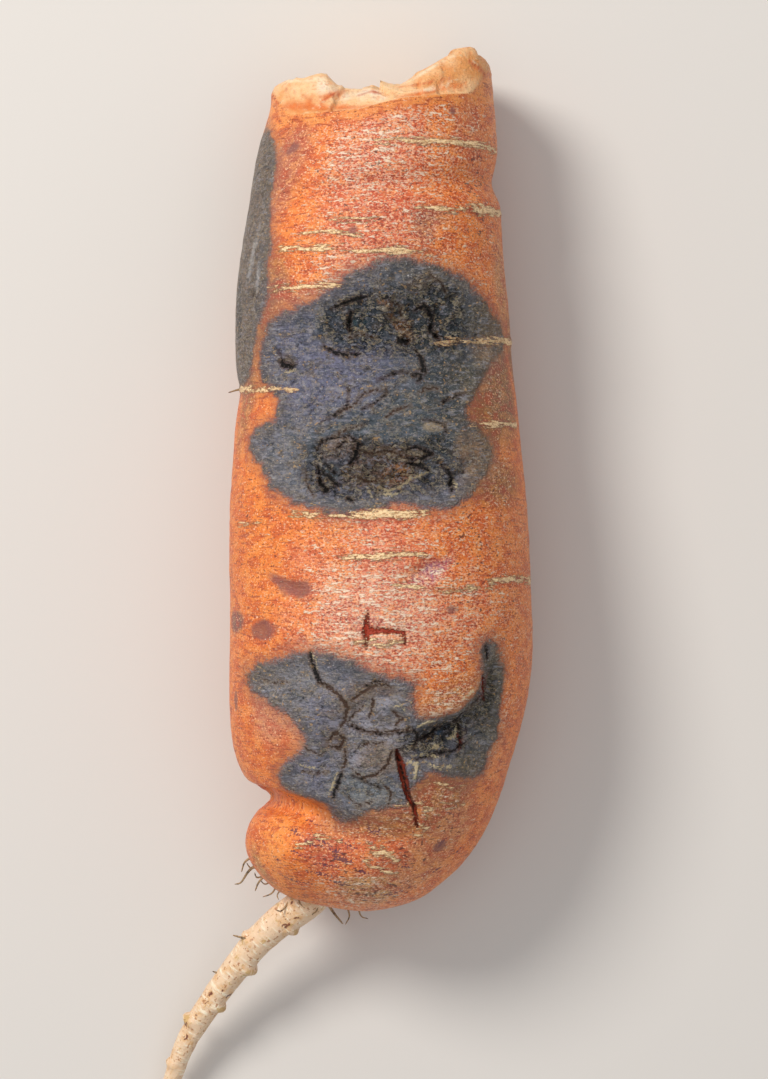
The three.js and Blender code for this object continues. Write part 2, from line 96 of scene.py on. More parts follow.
# Lines drawn along routes on the skin. Each route point is x, y and half width in millimetres.
# Strokes are painted in a colour of their own. The lines of a Cut are coloured by the skin's material.
# The softness of a line's edge is in millimetres too, and so is its depth, where below zero stands up.
Strokes = namedtuple("Strokes", "colour cover soft depth routes")
Cut = namedtuple("Cut", "soft depth routes")

# The broken face: the skin's rim and the torn flesh past it, seen from above, from left to right
SKIN_RIM = [
    (-16, 52.9), (-13.9, 53.8), (-9.2, 53.8), (-3.1, 54.2), (2.9, 55.7), (8.4, 56.4), (13.1, 57),
    (16.6, 57.9),
]
TORN_FLESH_EDGE = [
    (-16.3, 57.8), (-15.6, 59), (-13.4, 59.5), (-11.3, 59.1), (-9.3, 59.9), (-7.9, 60),
    (-6.3, 58.5), (-4.4, 58.5), (-2.8, 58.8), (-1.2, 59.3), (1.3, 58.4), (3, 58.7), (4.6, 59.9),
    (6.8, 61), (9.3, 62.5), (10.9, 63.3), (13.3, 63.5), (15, 63.2), (16.1, 62.4), (16.8, 60.9),
]

# The broken face's share of the body's rows; where its slope ends and how far that bends, in half heights
# of the face; half its height in mm; and the share of the body that takes up the shape of the torn rim
BROKEN_FACE_SHARE = 0.085
FACE_SLOPE_END_DEPTH = -0.42
FACE_SLOPE_BEND = 0.4
FACE_HALF_HEIGHT = 17.0
RIM_BLEND_SHARE = 0.13

# Facets of the torn flesh: how many, the seed that places them, how far they spread in mm and how steeply
# they lean; how they are drawn out, and how far and how finely their edges wobble; then the height of the
# ridges between them, and how strong and how fine the grain on them is
FACE_FACETS = 26
FACE_SEED = 4
FACET_SPREAD = 18
FACET_LEAN = 0.34
FACET_STRETCH = (1, 0.6)
FACET_WOBBLE = 0.8
FACET_WOBBLE_SIZE = 2.0
FACE_RIDGE_HEIGHT = 0.55
FACE_GRAIN = 0.25
FACE_GRAIN_SIZE = 1.6

# How near the rim the skin turns to flesh, in shares of the body's rows: from none to all
FLESH_STARTS = (0.006, -0.004)

# Lines on the torn flesh, in plan, from broad tints to clefts and the cream edges where it tore thin. The
# dark lines in the clefts are painted shade, and the cream edges are pale thin flesh with painted highlight
# on them.
FLESH_STROKES = [
    Strokes("#EC9C54", 0.92, 3.0, 0, [
        [(5.9, 56.6, 1.0), (10.3, 59.5, 2.4), (14, 61.4, 3.0)],
        [(-16.1, 54.4, 0.5), (-11.8, 54.1, 0.9), (-7.3, 54.3, 0.4)],
    ]),
    Strokes("#E89A58", 0.6, 1.0, 0, [[(16.5, 62.6, 0.1), (16.7, 60.9, 0.5), (16.4, 58.9, 0.2)]]),
    Strokes("#FFEBD2", 0.85, 1.4, 0, [
        [(-10, 58.3, 0.3), (-8.5, 58.5, 0.8), (-6.7, 57.2, 0.4)],
        [(-5, 56.6, 0.4), (-2.3, 57.1, 0.8), (0, 56.5, 0.3)],
    ]),
    Strokes("#F4A862", 0.85, 1.2, 0, [[(-15.8, 56.9, 0.8), (-15.5, 55.3, 1.4), (-14.2, 54.4, 1.0)]]),
    Strokes("#E8722E", 0.85, 0.5, 0, [
        [(-5.3, 57.2, 0.2), (-7, 56.7, 0.35), (-8.9, 55.2, 0.3)],
        [(-16.1, 55, 0.3), (-13.3, 55.1, 0.5), (-7.3, 54.6, 0.4), (-1.4, 54.6, 0.2)],
        [(2.9, 55.8, 0.2), (8.8, 57.3, 0.3), (14.8, 58.5, 0.2)],
    ]),
    # Dark lines in the clefts: painted shade
    Strokes("#CC5A28", 0.9, 0.25, 0, [
        [(-5.5, 56.9, 0.1), (-7.2, 56.4, 0.3), (-8.6, 55.4, 0.12)],
        [(-9.1, 56.1, 0.05), (-7.9, 56.4, 0.12), (-6.4, 56.8, 0.05)],
        [(2.9, 57.7, 0.05), (6.6, 58.1, 0.12), (10.6, 59.2, 0.1)],
        [(-13.9, 57.9, 0.05), (-11.8, 57, 0.12), (-10, 56, 0.1)],
        [(13.3, 61.8, 0.1), (14.8, 60.9, 0.25), (16.2, 59.5, 0.2)],
        [(-3.2, 56.5, 0.05), (-1.2, 57.1, 0.12), (0.9, 56.5, 0.05)],
    ]),
    # Cream along the torn edges: pale thin flesh, and painted highlight where light catches it
    Strokes("#FFE6C0", 0.9, 0.3, 0, [
        [(-15.5, 59.4, 0.1), (-13.3, 59.4, 0.3), (-11.2, 58.7, 0.15)],
        [(-11.2, 58.9, 0.1), (-9.1, 59.3, 0.3), (-6.7, 57.8, 0.15)],
        [(-5.1, 57.8, 0.1), (-1.2, 58.4, 0.2), (1.5, 57.5, 0.1)],
        [(3.7, 58.3, 0.1), (7.3, 60.5, 0.15), (10.9, 62.7, 0.15)],
        [(-7.3, 55.8, 0.08), (-4.4, 56.1, 0.15), (-2, 55.6, 0.05)],
        [(4.1, 56.8, 0.06), (7.3, 57.2, 0.14), (10, 58.1, 0.06)],
    ]),
]

# Rot patches, as outlines on the skin seen from above. A point past the body's edge lies round its side.
MIDDLE_ROT = [
    (1.3, 31.7), (5.8, 31.4), (9.6, 30.2), (12.4, 29), (14.7, 26.7), (16.6, 23.9), (17.7, 22.7),
    (18.9, 21), (18.5, 18.9), (16.3, 16.6), (14.6, 13.9), (12.8, 11.2), (12.7, 8.8), (14.7, 6.8),
    (16.5, 4.7), (16.5, 3.2), (15.9, 1.6), (14, -1.1), (11.3, -3.6), (8.3, -4.2), (1.9, -3.6),
    (-2.7, -4.6), (-5.6, -4.9), (-9.4, -4.2), (-12.9, -3), (-15.7, -1.1), (-17.2, 2.2),
    (-18.9, 3.8), (-18.9, 6), (-17.3, 7.6), (-15.3, 8.7), (-15, 11.1), (-15.8, 12.6), (-17.3, 14.5),
    (-17.8, 16.5), (-17.3, 19.4), (-15.8, 22.8), (-12.8, 24.3), (-9, 26), (-5.9, 28.2),
    (-3.7, 29.8), (-1.1, 30.5),
]
LOWER_ROT = [
    (-19.7, -28.3), (-18, -27.5), (-14.7, -26.5), (-10.5, -25.2), (-8.4, -25.4), (-5.6, -26.1),
    (-2.7, -27.4), (0, -28.6), (2.9, -29.3), (4.8, -30.2), (4.2, -32.1), (5.1, -34.3), (7.6, -35),
    (10.2, -34), (12.1, -32.9), (13.7, -31), (15.3, -28.2), (14.8, -25.2), (15.6, -23.8),
    (16.6, -23.8), (17.5, -26), (18.5, -28.9), (18.2, -33.5), (17.7, -37.3), (15.7, -40.4),
    (15, -42.7), (13.1, -43.8), (10.8, -43.4), (8.3, -42.4), (5.8, -43.3), (4.2, -45.2),
    (3.8, -47.5), (0.7, -48.5), (-1.9, -48.8), (-4.4, -49.7), (-7.1, -49.1), (-9.5, -46.7),
    (-12.9, -45.7), (-14.9, -44.1), (-14.2, -42.1), (-12.2, -40.2), (-10.6, -38.6), (-11.3, -36.3),
    (-13.2, -34.4), (-15.4, -32.6), (-17.7, -31.5), (-19.4, -29.9),
]
FLANK_ROT = [
    (-16.2, 51), (-15.2, 48.2), (-15.5, 45), (-16.2, 40.6), (-16.3, 37.5), (-16, 34), (-16.7, 31.2),
    (-16.4, 27.8), (-17, 25.3), (-18.2, 21.9), (-19.5, 15.4), (-23, 14.1), (-26.1, 20), (-27, 30),
    (-26.2, 40.1), (-22.6, 47.2), (-18.6, 51.9),
]
ROT_OUTLINES = {"middle": MIDDLE_ROT, "lower": LOWER_ROT, "flank": FLANK_ROT}

# How far each patch sinks in mm, how rough it is from 0 to 1, and over how many mm its edge goes down
ROT_SUNK = {"middle": 1.1, "lower": 0.9, "flank": 0.2}
ROT_ROUGH = {"middle": 0.12, "lower": 0.1, "flank": 0.3}
ROT_EDGE_WIDTH = 3.5

# An oval on the skin: its middle, half sizes in millimetres, and turn in degrees
Oval = namedtuple("Oval", "at half turn", defaults=(0,))

# Hollows in the body, with their depths
HOLLOWS = [
    (Oval((1.2, 22.6), (13.0, 5.2), -2), 1.3),
    (Oval((8.7, 22.6), (4.2, 4.2)), 0.9),
    (Oval((0, 1.5), (11.6, 5.2)), 1.3),
    (Oval((6.7, 4.7), (6.0, 2.6), 12), 0.4),
    (Oval((8.7, -37.3), (6.5, 3.8), 14), 1.1),
    (Oval((-5.1, -38.6), (5.2, 8.0)), 0.7),
    (Oval((16.4, -29.7), (2.4, 6.5), -8), 0.5),
    (Oval((6.5, -13.6), (5.2, 2.2), 16), 0.9),
    (Oval((-12.7, -15.9), (3.4, 1.7), -12), 0.6),
    (Oval((-17.2, -22.1), (2.1, 2.1)), 0.6),
    (Oval((-14.3, 16.7), (1.7, 1.5)), 1.1),
    (Oval((7.3, 36.9), (3.6, 2.4)), 0.5),
]

# Craters of crumbled rot, with how rough they are
CRATERS = [
    (Oval((1.2, 22.6), (12.5, 5.0), -2), 1.0),
    (Oval((9.5, 23.8), (5.5, 6.5)), 1.0),
    (Oval((0.3, 1.2), (12.0, 5.4)), 1.0),
    (Oval((8.7, 2.4), (4.6, 4.6)), 0.8),
    (Oval((8.7, -37.3), (7.0, 3.6), 14), 1.0),
    (Oval((-4.3, -37.9), (6.0, 8.6)), 0.3),
    (Oval((1.8, -45), (6.0, 4.6)), 0.35),
    (Oval((16.4, -30.8), (2.6, 7.0), -8), 0.6),
]

# Crumbs and ridges in the craters: their sizes in mm, how far they are drawn out across the root, and how
# high the ridges stand for the height of the crumbs
CRUMB_SIZE = 2.0
RIDGE_SIZE = 3.0
CRUMB_STRETCH = (0.75, 1.0, 1.0)
RIDGE_SHARE = 0.45

# Creases in the rotted skin: how they slant in degrees, how long and wide they run in mm, how far the noise
# strays from 0 on them, how deep they are, and the size of the patches that they gather in
CREASE_SLANT = 24
CREASE_LENGTH = 4.5
CREASE_WIDTH = 1.3
CREASE_LINE = 0.16
CREASE_DEPTH = 0.22
CREASE_PATCH = 5.0

# Wrinkles of the rotted skin: height and size in mm, and how they are drawn out across the root
WRINKLE_HEIGHT = 0.1
WRINKLE_SIZE = 1.4
WRINKLE_STRETCH = (0.45, 1.3, 1)

# The fold that parts the lobe from the body, with its depth at each point, and the lobe's own swelling
LOBE_FOLD = [
    (-19.0, -46.8, 1.6), (-14.3, -47.6, 1.5), (-9.8, -49.3, 1.1), (-5.4, -52.0, 0.6), (-2.0, -56.0, 0.2),
]
LOBE_FOLD_HALF_WIDTH = 2.6
LOBE = Oval((-12.8, -54.8), (8.0, 6.5))
LOBE_SWELLING = 1.0

# Low lumps all over the body: height, and turns in radians per millimetre round it and along it
LUMPS = [(0.15, 0.16, 0.11), (0.1, -0.1, 0.23)]

# The skin's own unevenness: height and size in mm, and how it is drawn out across the root
UNEVEN_HEIGHT = 0.05
UNEVEN_SIZE = 4.0
UNEVEN_STRETCH = (1, 2.5, 1)

# How far the edges of stains and strokes waver, as shares of their softness
STAIN_WOBBLE = 0.4
STROKE_WOBBLE = 0.7

# Sizes in mm of the wobble of fine edges, the ripple of broad ones, and the wet places in the rot
WOBBLE_SIZE = 1.6
RIPPLE_SIZE = 5.0
WET_SIZE = 1.5

# Relief fades out towards the tip between these places along the root
RELIEF_FADE = (-64.6, -61.5)

# Distances from a line, the rot's edge and a soft spot's edge are kept up to this many millimetres
FAR_OFF = 3.0
ROT_REACH = 9.0
SPOT_REACH = 2.0

# Corky scars across the root where side roots grew, and short crooked ones near the tip
ROOT_SCARS = Cut(0.4, -0.2, [
    [(-0.7, 49, 0.1), (5.9, 49.3, 0.35), (11.8, 49.2, 0.45), (17.3, 49, 0.3)],
    [(5.5, 39.2, 0.1), (7.6, 39.3, 0.4), (9.9, 39.2, 0.1)],
    [(10.2, 39.3, 0.1), (14, 39.4, 0.55), (18.2, 39.6, 0.35)],
    [(-7.3, 37.6, 0.05), (-4.1, 37.5, 0.25), (-0.7, 37.4, 0.05)],
    [(-14.6, 33.6, 0.05), (-9, 33.4, 0.35), (-5.1, 33.4, 0.1)],
    [(-5.1, 32.8, 0.05), (1.5, 33.1, 0.25), (7.3, 32.8, 0.05)],
    [(-16.1, 27.6, 0.05), (-10.9, 27.8, 0.2), (-5.8, 28, 0.05)],
    [(8.7, 19.7, 0.1), (13.9, 20.2, 0.25), (19.4, 20.6, 0.45)],
    [(-21.7, 13.5, 0.15), (-16.9, 13.1, 0.2), (-13.1, 13.2, 0.1)],
    [(12.4, 7.5, 0.1), (16.1, 8, 0.3), (20.3, 8.1, 0.4)],
    [(-13, -5.2, 0.05), (-5.8, -5.5, 0.3), (1.2, -5.3, 0.65), (7.2, -5, 0.1)],
    [(-6.5, -11.5, 0.05), (0, -11.2, 0.55), (6.5, -10.8, 0.1)],
    [(15.7, -14.9, 0.1), (18.7, -14.6, 0.45), (22.2, -14.9, 0.3)],
    [(-20.6, -6.6, 0.05), (-19, -6.6, 0.2), (-17.2, -6.5, 0.05)],
    [(-2, -53.6, 0.1), (-0.1, -54.4, 0.5), (2.6, -55.8, 0.15)],
    [(4.4, -52.5, 0.05), (5.9, -51.8, 0.12), (6.9, -50.8, 0.12), (7.6, -49.6, 0.08), (8.5, -49, 0.05)],
    [(5, -51.3, 0.05), (6, -50.5, 0.1), (6.7, -49.3, 0.12), (6.4, -48.1, 0.05)],
    [(2.3, -47.7, 0.05), (4.4, -46.9, 0.12), (6.4, -47.3, 0.08), (7.6, -48.1, 0.05)],
    [(8.8, -47, 0.05), (10.6, -47.9, 0.1), (12.3, -47.6, 0.05)],
    [(8.2, -44.2, 0.05), (10.5, -44.9, 0.15), (12.6, -44.4, 0.05)],
    [(-2.2, -56, 0.05), (0.3, -57, 0.2), (2.4, -58, 0.05)],
    [(-4, -23.4, 0.05), (0, -24.1, 0.3), (3.6, -23.4, 0.05)],
    [(-11.6, 35.4, 0.03), (-7.3, 35.8, 0.15), (-2.9, 35.2, 0.03)],
    [(2.2, -15.4, 0.05), (8.7, -16.2, 0.2), (16, -15.9, 0.05)],
    [(-11.7, -53.6, 0.05), (-9.1, -52.5, 0.2), (-5.8, -53, 0.05)],
])

# Painted lines on the skin: bruises beside the splits
SKIN_STROKES = [
    Strokes("#C9A088", 0.8, 0.5, 0.0, [[(-2.6, -23.8, 0.2), (0.7, -23.6, 0.6), (4.1, -23.4, 0.2)]]),
    Strokes("#7A5560", 0.85, 0.8, 0.0, [
        [(-4.3, -20.8, 0.3), (-2, -20.5, 0.5), (0.7, -20.8, 0.4), (3.5, -20.8, 0.6), (4.8, -21.9, 0.3)],
        [(-4, -21.3, 0.3), (-2.9, -22.2, 0.4)],
    ]),
    Strokes("#A8482E", 0.9, 0.7, 0.0, [[(1.7, -16.4, 0.2), (3.8, -15, 0.7), (6.1, -13.4, 0.5),
        (8.4, -11.5, 0.2)]]),
    Strokes("#94668A", 0.9, 0.9, 0.0, [[(4.1, -15.9, 0.3), (5.9, -14.6, 1.0), (8.2, -13.3, 1.2),
        (10.4, -11.8, 0.4)]]),
]

# Splits in the skin that show red flesh
RED_SPLITS = Cut(0.2, 0.7, [
    [(-1.7, -19.2, 0.04), (-1.9, -20.6, 0.16), (-1.9, -21.9, 0.42)],
    [(-1.9, -22.1, 0.42), (0.7, -22, 0.26), (3.5, -22.3, 0.2)],
    [(3.5, -22.3, 0.18), (3.6, -23.9, 0.04)], [(-1.9, -22.5, 0.3), (-2, -24.8, 0.04)],
    [(2.5, -39.5, 0.12), (3.2, -41.7, 0.5), (3.7, -44.4, 0.55), (4.4, -46.9, 0.3), (5.4, -50.7, 0.1)],
    [(15.2, -28.7, 0.1), (15.6, -30.5, 0.35), (16.2, -32.6, 0.1)],
    [(11.8, -37.5, 0.08), (12.3, -38.7, 0.2), (12.1, -39.9, 0.08)],
])

# Small soft spots
SPOT_MARKS = [
    Oval((-17, -22.1), (2.8, 1.6)), Oval((-12, -16), (2.7, 1.3), -8),
    Oval((-14.5, -15), (2.0, 0.8), -20),
    Oval((-12.5, 48.7), (1.0, 0.8)), Oval((-21.3, -32.6), (0.8, 1.4)),
    Oval((-4, 35.9), (0.6, 0.7), 30), Oval((-13.2, 48.1), (0.8, 0.5)),
    Oval((10.4, -19.1), (0.7, 0.6)), Oval((10.6, 54), (0.7, 0.7)),
    Oval((8.8, -53.9), (1.4, 0.8), 10), Oval((-10.9, -43.2), (1.2, 0.7), 30),
]

# Where the rot shows thinly through the skin, with the millimetres it draws back there
ROT_THINNED = [
    (Oval((10.9, -31.4), (6.0, 4.0), 30), 2.6), (Oval((18.7, -32.4), (3.0, 9.0)), 2.3),
    (Oval((18.4, 10.2), (7.0, 12.0)), 1.6), (Oval((19, 19.3), (5.0, 9.0)), 3.2),
    (Oval((1.5, -48.6), (8.0, 3.0)), 1.0), (Oval((-19, -28.6), (3.0, 3.0)), 0.7),
    (Oval((-16.1, 12.3), (3.0, 4.0)), 0.6), (Oval((-18.7, 49.5), (6.0, 4.0)), 0.8),
]

# Stains: colour, how strongly they cover, softness of the edge in millimetres, and ovals, from broad to fine
Stains = namedtuple("Stains", "colour cover soft places")

# Slate, brown, tan and black tones of the rot, and painted blue highlights in its lower crater
ROT_STAINS = [
    Stains("#666E78", 0.9, 6.0, [Oval((9.5, 18.7), (9.0, 13.0))]),
    Stains("#6C7176", 0.9, 4.0, [Oval((6.6, 28.1), (8.0, 3.5), 10), Oval((17.6, 3.5), (3.0, 6.0))]),
    Stains("#907A66", 0.95, 4.0, [Oval((-21.7, 35.9), (17.0, 24.0))]),
    Stains("#4C4036", 0.9, 1.5, [Oval((-22.5, 43.4), (3.0, 4.0), 20), Oval((-23.9, 31.1), (2.0, 6.0))]),
    Stains("#42382F", 0.9, 1.2, [Oval((-19.8, 49.5), (3.0, 2.4), 30), Oval((-21.1, 24.9), (2.0, 5.0))]),
    Stains("#E0D0BA", 0.9, 1.2, [Oval((-20.6, 38.6), (2.0, 5.0)), Oval((-23, 22.4), (2.0, 5.0))]),
    Stains("#CFC9C6", 0.9, 0.8, [Oval((-18.9, 33.1), (0.7, 3.6), -12), Oval((-17.9, 30), (0.5, 2.0), -10)]),
    Stains("#787A94", 0.9, 6.0, [Oval((-6.5, 15), (9.0, 9.0)), Oval((-11.6, 20.2), (5.0, 5.0))]),
    Stains("#787D88", 0.8, 4.0, [Oval((-13.8, 2.7), (4.0, 5.0)), Oval((-4.3, -3.9), (9.0, 1.0))]),
    Stains("#4B5A60", 0.9, 5.0, [Oval((5.8, 7.7), (9.0, 6.0)), Oval((-2.9, 7), (7.0, 3.0), 10)]),
    Stains("#3B484C", 0.95, 4.0, [Oval((8.7, 23.3), (5.5, 6.0)), Oval((10.9, 13.6), (4.0, 5.0))]),
    Stains("#495960", 0.8, 2.5, [Oval((-3.6, 22.6), (7.0, 3.0))]),
    Stains("#A8825A", 0.95, 3.5, [Oval((18, 19.1), (6.0, 9.0)), Oval((15.2, 2.4), (3.4, 4.6))]),
    Stains("#56523F", 0.8, 2.5, [Oval((15.3, 23.6), (3.0, 3.0), 30), Oval((14.3, 14.5), (3.0, 2.4))]),
    Stains("#725A4A", 0.8, 1.5, [Oval((14, 2.9), (1.4, 0.9)), Oval((6.4, 28.4), (2.0, 1.0), 10)]),
    Stains("#8C6A51", 0.85, 1.6, [Oval((-0.7, 0.9), (5.0, 2.0)), Oval((1.5, 3.8), (5.0, 1.0))]),
    Stains("#BB7947", 0.9, 1.0, [Oval((2.8, 0.6), (1.8, 1.3)), Oval((4.4, 21.5), (0.9, 1.0))]),
    Stains("#9D8577", 0.85, 0.6, [Oval((-6.3, 4.4), (2.9, 1.4), 14)]),
    Stains("#61808E", 0.85, 0.6, [Oval((-7.8, 1), (1.5, 1.2), -30)]),
    Stains("#43656D", 0.85, 0.8, [Oval((-3.2, 22.8), (1.1, 1.0))]),
    Stains("#876E5C", 0.9, 0.7, [Oval((-14.3, 17), (1.1, 0.9))]),
    Stains("#BCA788", 0.9, 0.3, [Oval((8.1, 7.6), (1.7, 0.7), -4), Oval((5.8, 3.8), (2.2, 0.45), -8)]),
    Stains("#949092", 0.9, 3.0, [Oval((-11.6, -30.7), (6.0, 3.0), -20),
        Oval((-0.7, -32), (4.0, 2.0), -10)]),
    Stains("#8E8CA0", 0.9, 3.0, [Oval((-9.9, -42.4), (3.0, 2.4), -20), Oval((-5.8, -34.3), (4.0, 3.0))]),
    Stains("#4E5254", 0.9, 2.0, [Oval((8.7, -37.3), (5.6, 2.6), 14), Oval((14.9, -38.5), (3.0, 3.0), 30)]),
    Stains("#9CA2A6", 0.9, 2.5, [Oval((-2.6, -45.3), (4.6, 2.6)), Oval((0.6, -46.8), (3.0, 1.6))]),
    Stains("#B6B0B8", 0.9, 3.0, [Oval((-1.7, -38.5), (6.0, 3.8)), Oval((-1.4, -32.9), (4.0, 2.6))]),
    Stains("#B49C8A", 0.9, 1.5, [Oval((0.6, -40.5), (3.4, 1.7), 10), Oval((1.2, -42), (2.2, 1.0), 20)]),
    Stains("#7C6450", 0.85, 1.8, [Oval((13.2, -42.6), (2.4, 0.9)), Oval((-4, -32.3), (3.0, 1.2), 30)]),
    Stains("#745C4C", 0.8, 1.4, [Oval((-0.3, -30.6), (3.0, 0.9), -10), Oval((-7.2, -38.2), (1.6, 1.4))]),
    Stains("#1C2429", 0.9, 1.0, [Oval((8.7, -37.3), (4.6, 1.5), 18), Oval((2.3, -34.1), (0.7, 0.5))]),
    # Small blue spots in the lower crater: painted highlights
    Stains("#4A6A86", 0.9, 0.3, [Oval((9.3, -37.4), (0.7, 0.5), 20), Oval((10.5, -36.3), (0.5, 0.4))]),
    Stains("#7A6A5E", 0.85, 2.0, [Oval((-19, -28.6), (2.6, 1.6)), Oval((1.5, -49), (6.0, 1.0))]),
    Stains("#6E6248", 0.85, 2.5, [Oval((13.7, -32.2), (3.4, 3.0)), Oval((16.9, -27.2), (1.8, 4.0))]),
    Stains("#66604A", 0.85, 2.0, [Oval((17.7, -32.4), (2.6, 7.0)), Oval((13.2, -41.7), (3.0, 1.4))]),
    Stains("#4A4C44", 0.85, 2.0, [Oval((17.4, -38.4), (2.6, 3.4)), Oval((15.4, -24.9), (1.0, 1.4))]),
    Stains("#8A4238", 0.9, 0.8, [Oval((15.6, -30.5), (0.9, 2.0), -14),
        Oval((12.3, -38.4), (0.5, 1.2), -20)]),
]

# Painted lines in the rot: the rust-brown rib in its upper crater, and painted shade in the dark hollows
# beside it
ROT_STROKES = [
    Strokes("#B98250", 0.9, 0.3, -0.2, [
        [(0.3, 25.8, 0.6), (1.5, 25.1, 0.6), (1.8, 23.8, 0.5), (2.9, 22.6, 0.7), (4.1, 21.2, 0.9)],
        [(1.2, 0.9, 0.6), (2.9, 1.2, 0.9), (4.4, 1.5, 0.5)],
    ]),
    # Near-black lines in the hollows beside the rib: painted shade
    Strokes("#33231A", 0.9, 0.3, 0.3, [
        [(0.3, 26.3, 0.2), (1.8, 26, 0.3), (2.6, 26.4, 0.1)],
        [(3.2, 20.3, 0.2), (4.1, 20.1, 0.4)],
    ]),
]

# Thin dark streaks on the lobe and the tip
LOBE_STREAKS = Cut(0.2, 0.0, [
    [(-13.2, -51.2, 0.05), (-12.2, -51.7, 0.3), (-11, -52.3, 0.05)],
    [(-11.7, -49.7, 0.05), (-10.4, -50.1, 0.2), (-9.1, -50.8, 0.05)],
    [(-11.3, -52.7, 0.05), (-9.9, -53.3, 0.35), (-8.8, -53.8, 0.05)],
    [(-9.9, -52.2, 0.05), (-8.5, -52.9, 0.3), (-7.1, -53.6, 0.05)],
    [(-7.9, -54, 0.05), (-6.6, -54.5, 0.3), (-5.1, -55.3, 0.05)],
    [(-7.2, -55.3, 0.05), (-5.5, -55.7, 0.5), (-3.8, -56.3, 0.05)],
    [(-9.7, -56.1, 0.05), (-7.6, -56.7, 0.3), (-5.6, -57, 0.05)],
    [(-12.6, -54.3, 0.05), (-11.4, -54.8, 0.2), (-10, -55.5, 0.05)],
    [(-15.6, -55.2, 0.05), (-14.6, -55.9, 0.3), (-13.7, -56.5, 0.05)],
    [(-10.9, -57.4, 0.05), (-8.5, -58, 0.3), (-6.2, -58.5, 0.05)],
    [(-16.6, -57.2, 0.05), (-13.3, -58.8, 0.25), (-9.1, -59.9, 0.05)],
    [(-7.9, -58.9, 0.05), (-5.9, -59.5, 0.4), (-4.1, -59.8, 0.05)],
    [(-5.8, -53, 0.05), (-4.7, -53.6, 0.3), (-3.5, -54.2, 0.05)],
    [(-4.1, -56.9, 0.05), (-2.6, -57.6, 0.3), (-1.2, -57.9, 0.05)],
    [(-2, -50.1, 0.1), (-1.3, -51.5, 0.25), (-0.3, -51.7, 0.2), (-0.1, -50.4, 0.05)],
    [(9.5, -48.5, 0.05), (10.9, -49.1, 0.2), (11.9, -48.3, 0.05)],
    [(8.2, -54.2, 0.15), (8.8, -53.6, 0.5), (9.7, -52.9, 0.1)],
    [(7.4, -57.9, 0.05), (8.3, -57.7, 0.25), (9.2, -57.1, 0.05)],
    [(2.2, -57, 0.05), (3.5, -56.8, 0.2), (4.7, -57.1, 0.05)],
    [(0, -61.3, 0.05), (1.8, -61.1, 0.2), (3.6, -60.6, 0.05)],
    [(14.9, -52.4, 0.05), (14.3, -53.9, 0.2), (13.4, -55.1, 0.05)],
    [(10.6, -55.6, 0.05), (11.8, -54.8, 0.25), (12.7, -53.9, 0.05)],
])

